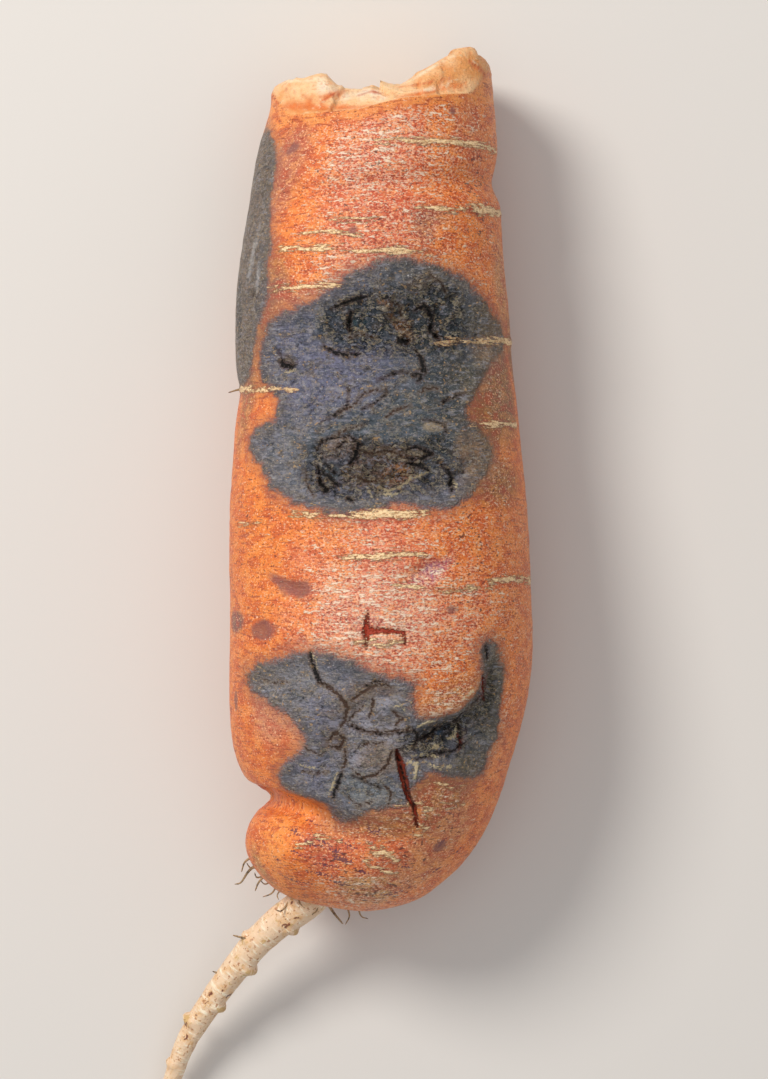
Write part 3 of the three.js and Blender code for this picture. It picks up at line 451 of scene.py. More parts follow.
# Black cracks in the rot
ROT_CRACKS = Cut(0.2, 0.18, [
    [(-7.1, 24.6, 0.12), (-5.6, 25.3, 0.2), (-3.3, 26.1, 0.2), (-2, 26.3, 0.1)],
    [(-4.3, 24.1, 0.15), (-4.9, 22.4, 0.35), (-4.6, 21.3, 0.12)],
    [(5.8, 24.6, 0.15), (7.1, 25.2, 0.25), (8.7, 23.8, 0.3), (8.2, 21.4, 0.3), (9.6, 20.6, 0.12)],
    [(3.1, 20, 0.3), (3.9, 19.9, 0.45), (4.7, 19.9, 0.2)],
    [(-8.5, 19.1, 0.1), (-6.8, 18.2, 0.22), (-4.5, 17.7, 0.2), (-2.9, 18, 0.08)],
    [(5.8, 18.5, 0.1), (6.5, 17.3, 0.25), (6.7, 16.3, 0.25), (7.3, 15.6, 0.15)],
    [(7.1, 15.7, 0.15), (5.8, 15.3, 0.2), (5.1, 14.7, 0.1)], [(6.5, 14.9, 0.2), (5.8, 14, 0.15)],
    [(-0.3, 14.2, 0.03), (1.2, 14.8, 0.08), (2.9, 15.4, 0.08), (5.4, 15.3, 0.05)],
    [(-4.8, 13.1, 0.03), (-4.9, 10.8, 0.07), (-7.1, 9.3, 0.07), (-9.1, 8.3, 0.03)],
    [(-2.6, 10.2, 0.03), (-0.9, 11, 0.09), (1.2, 12.6, 0.03)],
    [(-10, 4.4, 0.12), (-8.7, 5.7, 0.15), (-6.3, 6.1, 0.1), (-4.5, 6.2, 0.1), (-3.2, 5.1, 0.2),
        (-3.9, 3.3, 0.25), (-5, 2.3, 0.15)],
    [(-6.8, 4.4, 0.06), (-5.3, 5.4, 0.12)], [(-9, 1.2, 0.1), (-7.8, 0.3, 0.2), (-6.6, -0.8, 0.2)],
    [(-8.4, 2.2, 0.1), (-6.8, 0.9, 0.15)],
    [(-9.7, 1.9, 0.12), (-9.2, -0.3, 0.25), (-8.2, -1.7, 0.3)], [(-4.9, -2.9, 0.15), (-4.2, -3.2, 0.2)],
    [(3.2, 4.1, 0.06), (5.8, 4.7, 0.12), (8.1, 3.8, 0.16), (6.4, 2.9, 0.16), (4.1, 3.2, 0.06)],
    [(9.4, 2.4, 0.1), (10.3, 0.9, 0.2), (10.9, -0.1, 0.2), (10.7, -2, 0.1)],
    [(6.4, 8.6, 0.05), (8.1, 8.5, 0.1), (10, 7.9, 0.12), (9.9, 6.7, 0.06)],
    [(-15.6, 18.5, 0.12), (-15.3, 16.5, 0.3), (-14, 15.9, 0.28), (-12.8, 16.7, 0.12)],
    [(4.1, 2.3, 0.15), (6.1, 2, 0.25), (7.5, 1.2, 0.12)],
    [(9.6, 11.4, 0.05), (11.1, 12, 0.1), (12.6, 12.6, 0.05)],
    [(2.6, -40.1, 0.03), (3.4, -42.6, 0.14), (4.1, -45.6, 0.12), (4.8, -48.6, 0.03)],
    [(-10, -25.1, 0.1), (-9.8, -27, 0.25), (-9.5, -28.5, 0.3), (-8.8, -29.6, 0.2)],
    [(-8.8, -29.6, 0.1), (-7.8, -30.1, 0.02)],
    [(-2, -30, 0.02), (-0.3, -29.3, 0.06), (1.2, -29.7, 0.02)],
    [(-4.9, -36, 0.02), (-2.9, -36.9, 0.04), (0.7, -37.3, 0.03), (4.1, -36.9, 0.06)],
    [(-5.8, -43.2, 0.1), (-6.5, -45.4, 0.2), (-7, -46.9, 0.08)],
    [(-4.1, -43.5, 0.03), (-2, -44.3, 0.08), (0, -45.3, 0.03)],
    [(6.4, -38.2, 0.12), (8.1, -37.5, 0.28), (9.5, -36.5, 0.14)],
    [(10.5, -36.3, 0.12), (11.6, -35.1, 0.24), (12.8, -34, 0.08)],
    [(13.3, -33.4, 0.04), (14.3, -32.5, 0.14), (15, -31.7, 0.05)],
    [(4.9, -36.5, 0.06), (5.8, -37.6, 0.16), (5.2, -39.1, 0.08)],
    [(11.9, -35.4, 0.08), (12.3, -37.5, 0.2), (11.7, -39.3, 0.08)],
    [(5.5, -40.9, 0.04), (8.2, -40.3, 0.14), (11.1, -39.8, 0.1), (13.2, -38.7, 0.05)],
    [(15.6, -24.4, 0.15), (15.9, -25.5, 0.25), (15.6, -26.6, 0.08)],
])

# Brown seams where the rotted skin has shrunk
ROT_SEAMS = Cut(0.25, 0.15, [
    [(-9.2, -29.6, 0.1), (-7.6, -30.3, 0.25), (-6.1, -31.5, 0.2), (-4.9, -33.2, 0.25)],
    [(-4.9, -33.2, 0.25), (-5.3, -35.3, 0.2), (-6.5, -37, 0.1)],
    [(-7.8, -38.2, 0.1), (-6.8, -37.2, 0.25), (-5.5, -38.1, 0.2), (-6.2, -39.5, 0.2), (-7.7, -39.1, 0.1)],
    [(-5.3, -39.7, 0.1), (-5.2, -41.4, 0.2), (-5.7, -42.9, 0.1)],
    [(-4.3, -32.3, 0.1), (-2.3, -30.9, 0.2), (0, -29.7, 0.2), (1.8, -30.3, 0.1)],
    [(-1.1, -31.5, 0.08), (-1, -33.2, 0.16), (-1.7, -35, 0.08)],
    [(-4.1, -42.6, 0.08), (-2.6, -43.7, 0.18), (-0.6, -43.2, 0.12), (1.2, -41.7, 0.18), (1.8, -39.7, 0.08)],
    [(-3.5, -39.4, 0.06), (-1.7, -38.6, 0.14), (0.6, -38.5, 0.06)],
    [(2, -33.8, 0.12), (3.2, -35, 0.25), (2.2, -36.1, 0.12)],
    [(-4.3, -36, 0.06), (-2, -36.9, 0.14), (1.2, -36.9, 0.1), (4.4, -36.4, 0.14)],
    [(-2.6, -33.2, 0.05), (-4, -34.4, 0.12), (-4.9, -35.6, 0.05)],
    [(-6.4, 9.6, 0.06), (-4.6, 10.5, 0.14), (-2.9, 11.6, 0.06)],
    [(0.9, 9, 0.06), (2.6, 10.2, 0.14), (4.7, 10.8, 0.06)],
    [(-3.5, 11.9, 0.06), (-1.1, 12.8, 0.14), (0.9, 13.1, 0.06)],
    [(-7.2, 6.1, 0.06), (-5.2, 7.3, 0.12), (-2.6, 7.8, 0.06)],
    [(5.8, 12.5, 0.06), (7.6, 13.4, 0.14), (9, 13.1, 0.06)],
    [(-11.6, 1.2, 0.05), (-11, -0.8, 0.12), (-9.8, -2.6, 0.05)],
    [(-4, 0.6, 0.06), (-2, -0.3, 0.16), (0, 0, 0.06)],
    [(-4, 4.4, 0.06), (-1.7, 3.8, 0.16), (1.2, 4.3, 0.1), (3.5, 3.5, 0.06)],
    [(-4.9, 20.3, 0.06), (-2.9, 20.9, 0.14), (-0.6, 20.3, 0.06)],
    [(2, 25.8, 0.06), (3.5, 25, 0.16), (3.8, 23.2, 0.08)],
    [(-11.6, -38.3, 0.05), (-10.5, -39.5, 0.12), (-8.7, -40.3, 0.05)],
    [(-11.7, -42.8, 0.05), (-9.6, -43.3, 0.12), (-7.8, -42.7, 0.05)],
    [(-4.9, -46.9, 0.06), (-3.2, -47.8, 0.16), (-1.2, -47.1, 0.06)],
    [(0.6, -44.7, 0.06), (1.8, -45.9, 0.16), (1.2, -47.4, 0.06)],
    [(-17.2, -29.4, 0.05), (-15.4, -29.9, 0.12), (-13.6, -29.6, 0.05)],
    [(7.3, 30, 0.05), (9.3, 28.6, 0.14), (10.5, 26.9, 0.06)],
])

# Pale flakes that stand up from the rot
ROT_FLAKES = Cut(0.2, -0.25, [
    [(4.2, -41.2, 0.1), (5.5, -41.6, 0.3), (5, -43.5, 0.12)],
    [(4.7, -40.4, 0.05), (6.4, -40.2, 0.16), (9, -40.7, 0.05)],
    [(5.5, -36.2, 0.05), (7, -35.3, 0.2), (8.3, -35.3, 0.05)],
    [(10.5, -38.2, 0.06), (11.5, -37.8, 0.16), (11.9, -36.3, 0.06)],
    [(2.2, -33.2, 0.05), (2.9, -32.8, 0.16), (3.6, -33.5, 0.05)],
    [(7.3, -39.7, 0.05), (8.4, -39.2, 0.18), (9.6, -39.5, 0.05)],
    [(11.9, -32.2, 0.05), (13.1, -31.3, 0.14), (14, -30.5, 0.05)],
    [(-12.2, -41.6, 0.04), (-11.1, -42.2, 0.12), (-9.6, -42.4, 0.04)],
    [(0, -1.1, 0.1), (1.2, -1.7, 0.25), (2.3, -1.4, 0.12)],
    [(2.9, -1.3, 0.1), (4.3, -0.4, 0.2), (4.9, 0.4, 0.12)],
    [(5.1, 0.2, 0.1), (6.4, 0.6, 0.18), (7.4, 1, 0.08)],
    [(-1.9, -1.3, 0.06), (-1.6, -2, 0.16), (-1.1, -2.7, 0.06)],
    [(11, -0.2, 0.05), (11.5, -0.8, 0.14), (11.3, -2, 0.05)],
    [(0.6, -2.3, 0.08), (1.7, -2.4, 0.18), (2.6, -2.2, 0.08)],
    [(-15.2, 15.6, 0.06), (-14, 15.3, 0.14), (-13, 15.8, 0.06)],
    [(-6.5, -43.2, 0.05), (-7.1, -45.1, 0.15), (-7.7, -46.3, 0.05)],
    [(-9.7, -25.1, 0.05), (-9.2, -26.9, 0.1), (-9, -28, 0.05)],
    [(6.6, -41.2, 0.06), (8.8, -42.1, 0.16), (11.1, -41.9, 0.06)],
])

# The lines that the skin's material draws, each by its distance under this name
DRAWN_LINES = {
    "scar": ROOT_SCARS, "streak": LOBE_STREAKS, "split": RED_SPLITS, "seam": ROT_SEAMS,
    "crack": ROT_CRACKS, "flake": ROT_FLAKES,
}

# Dry flecks lie thickest in bands across the root: middle and half height of each, and how thick they lie
SCURF_BANDS = [
    (49.2, 9.0, 0.75), (38.3, 5.0, 0.6), (30.2, 5.0, 0.7), (-8.9, 6.0, 0.55), (-20.5, 9.0, 0.8),
    (-30.6, 5.0, 0.6), (-55, 7.0, 0.35), (-61.3, 3.5, 0.6),
]

# The flecks thin out to the left between these places, and down the sides from this far round
SCURF_LEFT_FADE = (-15.0, -6.0)
SCURF_SIDE_FADE = 30

# Ovals where dry flecks lie too, and how thick
SCURF_AREAS = [
    (Oval((9.4, -32.6), (7.0, 2.8), 30), 0.72), (Oval((8.2, -47.2), (7.0, 3.4), 10), 0.5),
    (Oval((17.5, -17.7), (4.0, 18.0)), 0.3), (Oval((16.2, 33.8), (5.0, 12.0)), 0.35),
    (Oval((17, -0.2), (5.0, 6.0)), 0.4), (Oval((-2.9, -60.8), (9.0, 2.0)), 0.55),
    (Oval((17, -34.6), (5.0, 9.0)), 0.55), (Oval((16.8, 15.3), (4.0, 8.0)), 0.4),
    (Oval((-11.6, -29.2), (7.0, 3.0), -20), 0.3), (Oval((-5.1, -46.9), (8.0, 3.0)), 0.36),
]

# Ovals where dark specks lie, and how thick
SPECK_AREAS = [
    (Oval((-7.3, -56.1), (8.0, 4.0), -25), 0.5), (Oval((-0.3, -60.5), (10.0, 2.4)), 0.6),
    (Oval((7.3, -52.9), (9.0, 5.0), 30), 0.5),
    (Oval((0, 43.5), (17.0, 12.0)), 0.35), (Oval((14.7, 41.1), (5.0, 9.0)), 0.5),
    (Oval((-17.5, -6), (6.0, 18.0)), 0.3), (Oval((14.5, -8.9), (8.0, 20.0)), 0.4),
]

# The smooth torn band of skin under the broken rim
RIM_BAND_COLOUR = "#F0954E"
RIM_BAND_COVER = 0.85
RIM_BAND_WIDTH = 1.7

# Broad tints of the skin. The lighter orange down the right side is painted light where the lamps leave that
# side in shade.
SKIN_STAINS = [
    Stains("#D86C4E", 0.9, 16.0, [Oval((0, 22), (5, 44))]),
    Stains("#CF6244", 0.5, 7.0, [Oval((-2, 42), (9, 6))]),
    Stains("#DC8066", 0.9, 9.0, [Oval((0, -20), (9, 6))]),
    # A lighter orange down the right side: painted light on the side that the lamps leave in shade
    Stains("#F08C52", 0.85, 12.0, [Oval((24, 5), (4, 48))]),
    Stains("#E0824A", 0.8, 9.0, [Oval((12, -46), (8, 4), 30)]),
    Stains("#E2764A", 0.7, 6.0, [Oval((-2, -55), (8, 3))]),
    Stains("#EE8432", 0.8, 6.0, [Oval((-18, -8), (2, 14))]),
    Stains("#FB9C48", 0.85, 5.0, [Oval((-15.5, -53.5), (3, 4))]),
    Stains("#9C6A42", 0.95, 4.0, [Oval((-17.3, 26.2), (5.0, 6.0), -30), Oval((-19.5, 19.8), (3.0, 7.0))]),
    Stains("#7C6250", 0.75, 2.5, [Oval((-16.7, 26.5), (3.5, 1.8), 25), Oval((-20.2, 22.1), (1.6, 4.0))]),
    Stains("#B58452", 0.8, 3.0, [Oval((18.1, 28.1), (3.0, 6.0)), Oval((19.7, 20.2), (3.0, 6.0))]),
    Stains("#84592F", 0.95, 3.5, [Oval((17.3, 11.3), (7.0, 6.0)), Oval((16.4, -0.2), (5.0, 3.0))]),
    Stains("#A87444", 0.85, 3.0, [Oval((9.6, -32.7), (5.0, 2.4), 30)]),
    Stains("#C08A74", 0.7, 3.5, [Oval((-16.1, -34.5), (3.0, 4.0)), Oval((-11.6, -35.1), (2.0, 3.0))]),
    Stains("#C4845A", 0.8, 3.5, [Oval((2.9, -58.2), (9.0, 3.0), 10), Oval((9.5, -51.5), (6.0, 5.0), 40)]),
    Stains("#B08A54", 0.8, 2.0, [Oval((-2.1, -60.4), (6.0, 2.0)), Oval((-17.5, -57.7), (1.5, 2.0))]),
    Stains("#9A6458", 0.7, 4.0, [Oval((-13.8, 46.2), (4.0, 6.0)), Oval((-11.6, 26), (4.0, 2.0))]),
    Stains("#94683E", 0.85, 3.0, [Oval((0, -50.1), (8.0, 2.0)), Oval((7.3, -45.4), (6.0, 2.4))]),
    Stains("#7C5C3A", 0.92, 2.5, [Oval((19.4, 19.4), (5.0, 6.0)), Oval((17.7, 13.9), (5.0, 6.0))]),
    Stains("#8E6440", 0.9, 3.0, [Oval((-19.8, 14), (2.6, 8.0)), Oval((-18.5, 23.1), (3.0, 4.0))]),
    Stains("#C8483C", 0.7, 2.5, [Oval((-7.6, -56.1), (2.5, 2.0))]),
    Stains("#7C5A56", 0.7, 2.0, [Oval((7.3, 37.9), (2.2, 1.2)), Oval((6.9, 35.9), (1.0, 1.0))]),
    Stains("#4C4850", 0.9, 0.8, [Oval((-21.2, -21), (3.0, 1.6))]),
    Stains("#B05A42", 0.6, 4.0, [Oval((13.3, 50.7), (4, 4)), Oval((-8, -55), (3, 2))]),
]

# The tap root: its route from inside the lobe with the height of each point, and its diameters along it
TAIL_ROUTE = [
    (-6.0, -57.5, 16.5), (-10.9, -63.3, 14.2), (-15.6, -66.9, 12.4), (-19.4, -70.8, 10.8),
    (-24.7, -77.8, 8.0), (-29.2, -84.9, 5.6), (-32.3, -93.1, 3.6), (-33.9, -101.0, 2.5),
    (-34.3, -108.6, 2.0),
]
TAIL_DIAMETERS = [6.2, 5.6, 5.0, 4.5, 4.1, 3.6, 3.1, 2.6, 2.1, 1.5]
TAIL_SHRINK = 0.96
TAIL_SIDES = 36
TAIL_RINGS = 220

# Knobs on the tap root where rootlets broke off: share of its length, angle round it, height, half length
TAIL_KNOBS = [
    (0.2, 250, 0.7, 1.2), (0.3, 75, 0.45, 1.0), (0.36, 262, 0.8, 1.3), (0.49, 268, 0.7, 1.1),
    (0.56, 85, 0.75, 1.0), (0.68, 70, 0.4, 0.9), (0.8, 255, 0.35, 0.9),
]

# A hair root's radius at its start, middle and tip is its thickness divided by each of these
HAIR_TAPER = (2, 2.6, 5)
HAIR_SIDES = 6
HAIR_RINGS = 14

# Hair roots: route points with heights, and the thickness at the root end
HAIR_ROOTS = [
    ([(-17.4, -57.0, 14.6), (-19.6, -58.6, 14.8), (-21.0, -60.6, 13.6), (-21.9, -60.9, 12.6)], 0.55),
    ([(-18.0, -56.2, 15.2), (-20.2, -57.2, 16.0), (-20.8, -58.8, 15.4)], 0.5),
    ([(-16.4, -58.6, 14.2), (-18.2, -60.4, 14.6), (-18.8, -61.8, 13.8)], 0.5),
    ([(-15.2, -60.0, 14.4), (-16.2, -62.0, 15.0), (-17.6, -62.6, 15.2)], 0.4),
    ([(-18.0, -70.0, 12.2), (-20.0, -69.2, 12.8), (-22.2, -68.6, 12.6)], 0.6),
    ([(-18.4, -70.6, 12.0), (-20.4, -71.4, 11.8), (-21.6, -71.0, 11.6)], 0.45),
    ([(-22.4, -75.6, 9.8), (-24.2, -74.8, 9.6), (-25.4, -74.4, 9.2)], 0.55),
    ([(-8.5, -62.5, 15.0), (-7.0, -65.0, 14.4), (-5.6, -66.8, 13.4)], 0.6),
    ([(-5.5, -63.0, 15.4), (-4.6, -65.4, 15.0), (-5.2, -66.8, 14.4)], 0.4),
    ([(-13.2, -62.6, 14.6), (-14.8, -64.6, 16.2), (-15.6, -64.4, 17.0)], 0.45),
    ([(-17.4, -57.8, 15.0), (-19.4, -58.2, 15.6), (-20.0, -57.4, 16.2)], 0.4),
    ([(-16.4, -58.8, 15.6), (-18.4, -59.6, 16.2), (-18.8, -58.8, 17.0)], 0.4),
    ([(-15.4, -59.6, 15.6), (-17.2, -60.6, 16.0), (-17.9, -60.0, 16.8)], 0.35),
    ([(-14.0, -60.6, 15.8), (-15.4, -62.2, 16.2), (-15.2, -62.9, 16.6)], 0.35),
    ([(-12.4, -61.4, 16.0), (-12.0, -63.4, 16.6), (-11.2, -64.2, 16.6)], 0.35),
    ([(-9.6, -62.4, 16.4), (-9.4, -64.4, 16.4), (-10.2, -65.2, 16.0)], 0.35),
    ([(-3.4, -63.4, 16.6), (-2.8, -65.4, 16.2), (-1.8, -65.8, 15.8)], 0.35),
    ([(-19.6, 13.8, 18.6), (-21.4, 13.4, 19.0), (-22.6, 13.0, 19.6)], 0.45),
]

# Thin roots: how rough they are in mm, the size of that grain, and the radius below which no knob grows
THIN_ROOT_ROUGHNESS = 0.07
THIN_ROOT_GRAIN_SIZE = 1.8
THIN_ROOT_BARE_RADIUS = 0.3

# The last shares of a thin root's length, over which its tip is rounded off, and half the share of it over
# which its direction is taken
TIP_END = 1.004
TIP_ROUNDING = 0.012
DIRECTION_SHARE = 0.004

# Thin roots stay at least this high above what the root rests on
RESTING_CLEARANCE = 0.05

# Faces are cut finer in the craters and on the broken face: how far past the edge of each, and how high up
FINE_CRATER_REACH = 1.1
FINE_FACE_SHARE = 0.01
FINE_CRATER_HEIGHT = 17.0
FINE_FACE_HEIGHT = 23.0

# The photograph's view: straight down on the middle of the picture, seen from this high with this field
VIEW_CENTRE = (0.6, -8.9)
VIEW_HEIGHT = 620.0
VIEW_FIELD_HEIGHT = 160.8
SUBJECT_HEIGHT = 20.0
SENSOR_HEIGHT = 24.0

# Studio lights: where each stands and what it points at in metres, its width, power and tint
Softbox = namedtuple("Softbox", "name place aim width watts colour")
WINDOW = Softbox("window", (-0.42, 0.40, 0.62), (0.0, 0.01, 0.02), 0.30, 5.4, (1.0, 0.98, 0.95))
SKY = Softbox("sky", (0.10, 0.0, 0.95), (0.0, 0.0, 0.0), 0.9, 1.6, (0.93, 0.96, 1.0))
ROOM_TINT = (0.95, 0.97, 1.0, 1.0)
ROOM_STRENGTH = 0.43


class CarrotSizes(bpy.types.PropertyGroup):
    """Sizes of the root"""

    thickness: FloatProperty(
        name="Thickness", description="How thick the root is for its width", default=0.93, subtype="FACTOR")
    columns: IntProperty(name="Columns", description="Faces round the body", default=200, min=24)
    rows: IntProperty(name="Rows", description="Faces along the body", default=360, min=24)
    crowding: FloatProperty(
        name="Crowding", description="How far the columns crowd to the upper side", default=0.5,
        subtype="FACTOR")
    crumble: FloatProperty(
        name="Crumble", description="How far the rotted craters stand up and down", default=0.0007,
        unit="LENGTH", subtype="DISTANCE")
    floor: FloatProperty(
        name="Floor", description="Width of the floor", default=3.0, unit="LENGTH", subtype="DISTANCE")


def linear(hex_colour):
    """A colour's sRGB hex value as linear red, green, blue and alpha"""
    parts = [int(hex_colour[i:i + 2], 16) / 255 for i in (1, 3, 5)]
    return [c / 12.92 if c <= 0.04045 else ((c + 0.055) / 1.055) ** 2.4 for c in parts] + [1.0]


class CarrotColours(bpy.types.PropertyGroup):
    """Colours of the root"""

    skin: FloatVectorProperty(
        name="Skin", description="Smooth young skin", default=linear("#E67A30"), size=4, subtype="COLOR")
    scurf: FloatVectorProperty(
        name="Scurf", description="Dry flecks on the skin", default=linear("#F5DCC0"), size=4,
        subtype="COLOR")
    rot: FloatVectorProperty(
        name="Rot", description="Skin over black rot", default=linear("#797A88"), size=4, subtype="COLOR")
    bruise: FloatVectorProperty(
        name="Bruise", description="Small soft spots", default=linear("#84504A"), size=4, subtype="COLOR")
    flesh: FloatVectorProperty(
        name="Flesh", description="Torn flesh of the broken top", default=linear("#FFCB94"), size=4,
        subtype="COLOR")
    tap_root: FloatVectorProperty(
        name="Tap root", description="Thin pale root", default=linear("#E8C8A6"), size=4, subtype="COLOR")
    floor: FloatVectorProperty(
        name="Floor", description="Plain floor", default=linear("#D9D3CC"), size=4, subtype="COLOR")


def clamped_steps(low, high, values):
    """0 below low, 1 above high, and a smooth rise between them"""
    share = np.clip((values - low) / (high - low), 0, 1)
    return share * share * (3 - 2 * share)


def smooth_curve(points, closed=False, steps=24):
    """Points along a centripetal Catmull-Rom curve through the given points"""
    knots = np.array(points, dtype=float)
    if closed:
        knots = np.vstack([knots[-1:], knots, knots[:2]])
    else:
        knots = np.vstack([2 * knots[0] - knots[1], knots, 2 * knots[-1] - knots[-2]])
    before, start, end, after = knots[:-3], knots[1:-2], knots[2:-1], knots[3:]
    stretches = ((before, start), (start, end), (end, after))
    gaps = [np.sqrt(np.linalg.norm(far - near, axis=1))[:, None] for near, far in stretches]
    leave = gaps[1] * (
        (start - before) / gaps[0] - (end - before) / (gaps[0] + gaps[1]) + (end - start) / gaps[1])
    arrive = gaps[1] * (
        (end - start) / gaps[1] - (after - start) / (gaps[1] + gaps[2]) + (after - end) / gaps[2])
    share = np.linspace(0, 1, steps, endpoint=False)[:, None, None]
    run = (start + share * leave + share ** 2 * (3 * (end - start) - 2 * leave - arrive)
           + share ** 3 * (2 * (start - end) + leave + arrive))
    curve = run.transpose(1, 0, 2).reshape(-1, knots.shape[1])
    return curve if closed else np.vstack([curve, end[-1:]])


def along(curve, shares):
    """Places at even shares of a curve's length"""
    lengths = np.concatenate([[0], np.cumsum(np.linalg.norm(np.diff(curve, axis=0), axis=1))])
    return np.stack([np.interp(shares * lengths[-1], lengths, column) for column in curve.T], axis=-1)


LEFT_CURVE = smooth_curve(LEFT_EDGE)
RIGHT_CURVE = smooth_curve(RIGHT_EDGE)

# Smooth noise runs between the random numbers of a lattice, whose cells are picked by these large primes
LATTICE_SIZE = 4096
LATTICE = np.random.default_rng(7).uniform(-1, 1, LATTICE_SIZE)
LATTICE_PRIMES = np.array([73856093, 19349663, 83492791])
SEED_SHIFT = 31.7


def grain(points, size, seed=0):
    """Smooth noise from -1 to 1 whose features are about size mm across"""
    cells = points / size + SEED_SHIFT * (seed + 1)
    corner = np.floor(cells).astype(np.int64)
    share = cells - corner
    share = share * share * (3 - 2 * share)
    total = np.zeros(len(points))
    for step in itertools.product((0, 1), repeat=3):
        weight = np.prod(np.where(step, share, 1 - share), axis=1)
        key = (corner + step) @ LATTICE_PRIMES
        total += weight * LATTICE[key % LATTICE_SIZE]
    return total


def rough_grain(points, size, octaves=4, seed=0):
    """Grain at several sizes, each half as large and half as strong as the one before"""
    return sum(grain(points, size / 2 ** k, seed + k) / 2 ** k for k in range(octaves))


def ring(shares, thickness):
    """Rings of the body: centre and half width in plan, half thickness, and height of the middle"""
    left = along(LEFT_CURVE, shares)
    right = along(RIGHT_CURVE, shares)
    centre = (left + right) / 2
    across = (right - left) / 2
    half_thickness = np.linalg.norm(across, axis=-1) * thickness
    height = half_thickness + UNDERSIDE_CURVE * (centre[..., 1] - UNDERSIDE_LOWEST_Y) ** 2
    return centre, across, half_thickness, height


def tip_lowered(shares, heights, thickness):
    """Heights of the rings' middles, with those past the widest part led down to the blunt tip"""
    widest_height = ring(np.array([WIDEST_SHARE]), thickness)[3]
    tipward = clamped_steps(WIDEST_SHARE, 1, shares)
    lowered = widest_height + (TIP_HEIGHT - widest_height) * tipward
    return np.where(shares > WIDEST_SHARE, lowered, heights)


def broken_face_y(radius, angle, thickness):
    """How far the broken face stands out, at polar coordinates on the rim's ring"""
    centre, across, _, _ = ring(np.zeros(1), thickness)
    x = centre[0, 0] + across[0, 0] * radius * np.sin(angle)
    skin_line = np.interp(x, *np.array(SKIN_RIM).T)
    flesh_line = np.interp(x, *np.array(TORN_FLESH_EDGE).T)
    depth = -radius * np.cos(angle)
    bend = FACE_SLOPE_BEND * radius ** 8
    slope = clamped_steps(-1 + bend, FACE_SLOPE_END_DEPTH + bend, depth) ** 0.7
    plan = np.stack([x, FACE_HALF_HEIGHT * depth, 0 * x], axis=-1)
    inward = 1 - radius ** 10
    steps = torn_facets(plan) + FACE_GRAIN * rough_grain(plan, FACE_GRAIN_SIZE, 2, seed=5)
    return skin_line + (flesh_line - skin_line) * slope + FACE_RIDGE_HEIGHT * steps * inward


def torn_facets(plan):
    """Flat facets of torn flesh: each piece of the face leans its own way and stands at its own height"""
    draw = np.random.default_rng(FACE_SEED)
    seeds = np.stack([draw.uniform(-FACET_SPREAD, FACET_SPREAD, FACE_FACETS) for _ in range(2)], axis=-1)
    leans = draw.uniform(-FACET_LEAN, FACET_LEAN, (FACE_FACETS, 2))
    rises = draw.uniform(-1, 1, FACE_FACETS)
    wobble = np.stack([grain(plan, FACET_WOBBLE_SIZE, seed) for seed in (21, 22)], axis=-1)
    offsets = (plan[:, :2] + FACET_WOBBLE * wobble)[:, None, :] - seeds[None]
    nearest = np.argmin(np.linalg.norm(offsets * FACET_STRETCH, axis=2), axis=1)
    chosen = offsets[np.arange(len(plan)), nearest]
    return rises[nearest] + np.sum(chosen * leans[nearest], axis=1)


def body_places(rows, turns, sizes):
    """The undamaged body: x, y and z in mm of sphere vertices given by their row share and turn"""
    angle = turns - sizes.crowding * np.sin(turns)
    on_face = rows < BROKEN_FACE_SHARE
    share = np.clip((rows - BROKEN_FACE_SHARE) / (1 - BROKEN_FACE_SHARE), 0, 1)
    centre, across, half_thickness, height = ring(share, sizes.thickness)
    height = tip_lowered(share, height, sizes.thickness)
    radius = np.where(on_face, rows / BROKEN_FACE_SHARE, 1.0)
    plan = centre + across * (radius * np.sin(angle))[:, None]
    z = height + half_thickness * radius * np.cos(angle)
    rim_y = centre[:, 1] + across[:, 1] * np.sin(angle)
    rim_centre, rim_across, _, _ = ring(np.zeros(1), sizes.thickness)
    rim_line = rim_centre[0, 1] + rim_across[0, 1] * np.sin(angle)
    near_rim = 1 - clamped_steps(0, RIM_BLEND_SHARE, share)
    face_y = broken_face_y(radius, angle, sizes.thickness)
    side_y = rim_y + near_rim * (broken_face_y(1.0, angle, sizes.thickness) - rim_line)
    y = np.where(on_face, face_y, side_y)
    return np.stack([plan[:, 0], y, z], axis=-1)


def edge_x(curve, level):
    """Where an edge of the body lies at each level along the root"""
    order = np.argsort(curve[:, 1])
    return np.interp(level, curve[order, 1], curve[order, 0])


def unrolled(x, y, faces_up=True):
    """Where places seen from above lie on the unrolled skin: mm round from the top line, and y"""
    level = np.maximum(y, BLUNT_TIP_Y)
    left = edge_x(LEFT_CURVE, level)
    right = edge_x(RIGHT_CURVE, level)
    ratio = (x - (left + right) / 2) / np.maximum((right - left) / 2, 1)
    over = np.maximum(np.abs(ratio) - 1, 0)
    angle = np.arcsin(np.clip(ratio, -1, 1)) + np.sign(ratio) * 2 * over
    turned = np.where(faces_up, angle, np.sign(angle) * math.pi - angle)
    return np.stack([GIRTH_RADIUS * turned, y + 0 * x], axis=-1)


def flat(points):
    """Drawing points on the unrolled skin"""
    points = np.array(points, dtype=float)
    return unrolled(points[:, 0], points[:, 1])


def nearest_on(places, start, end):
    """Distance of each place from a straight stretch, and its share along the stretch"""
    run = end - start
    share = np.clip((places - start) @ run / (run @ run), 0, 1)
    return np.linalg.norm(places - start - share[:, None] * run, axis=1), share


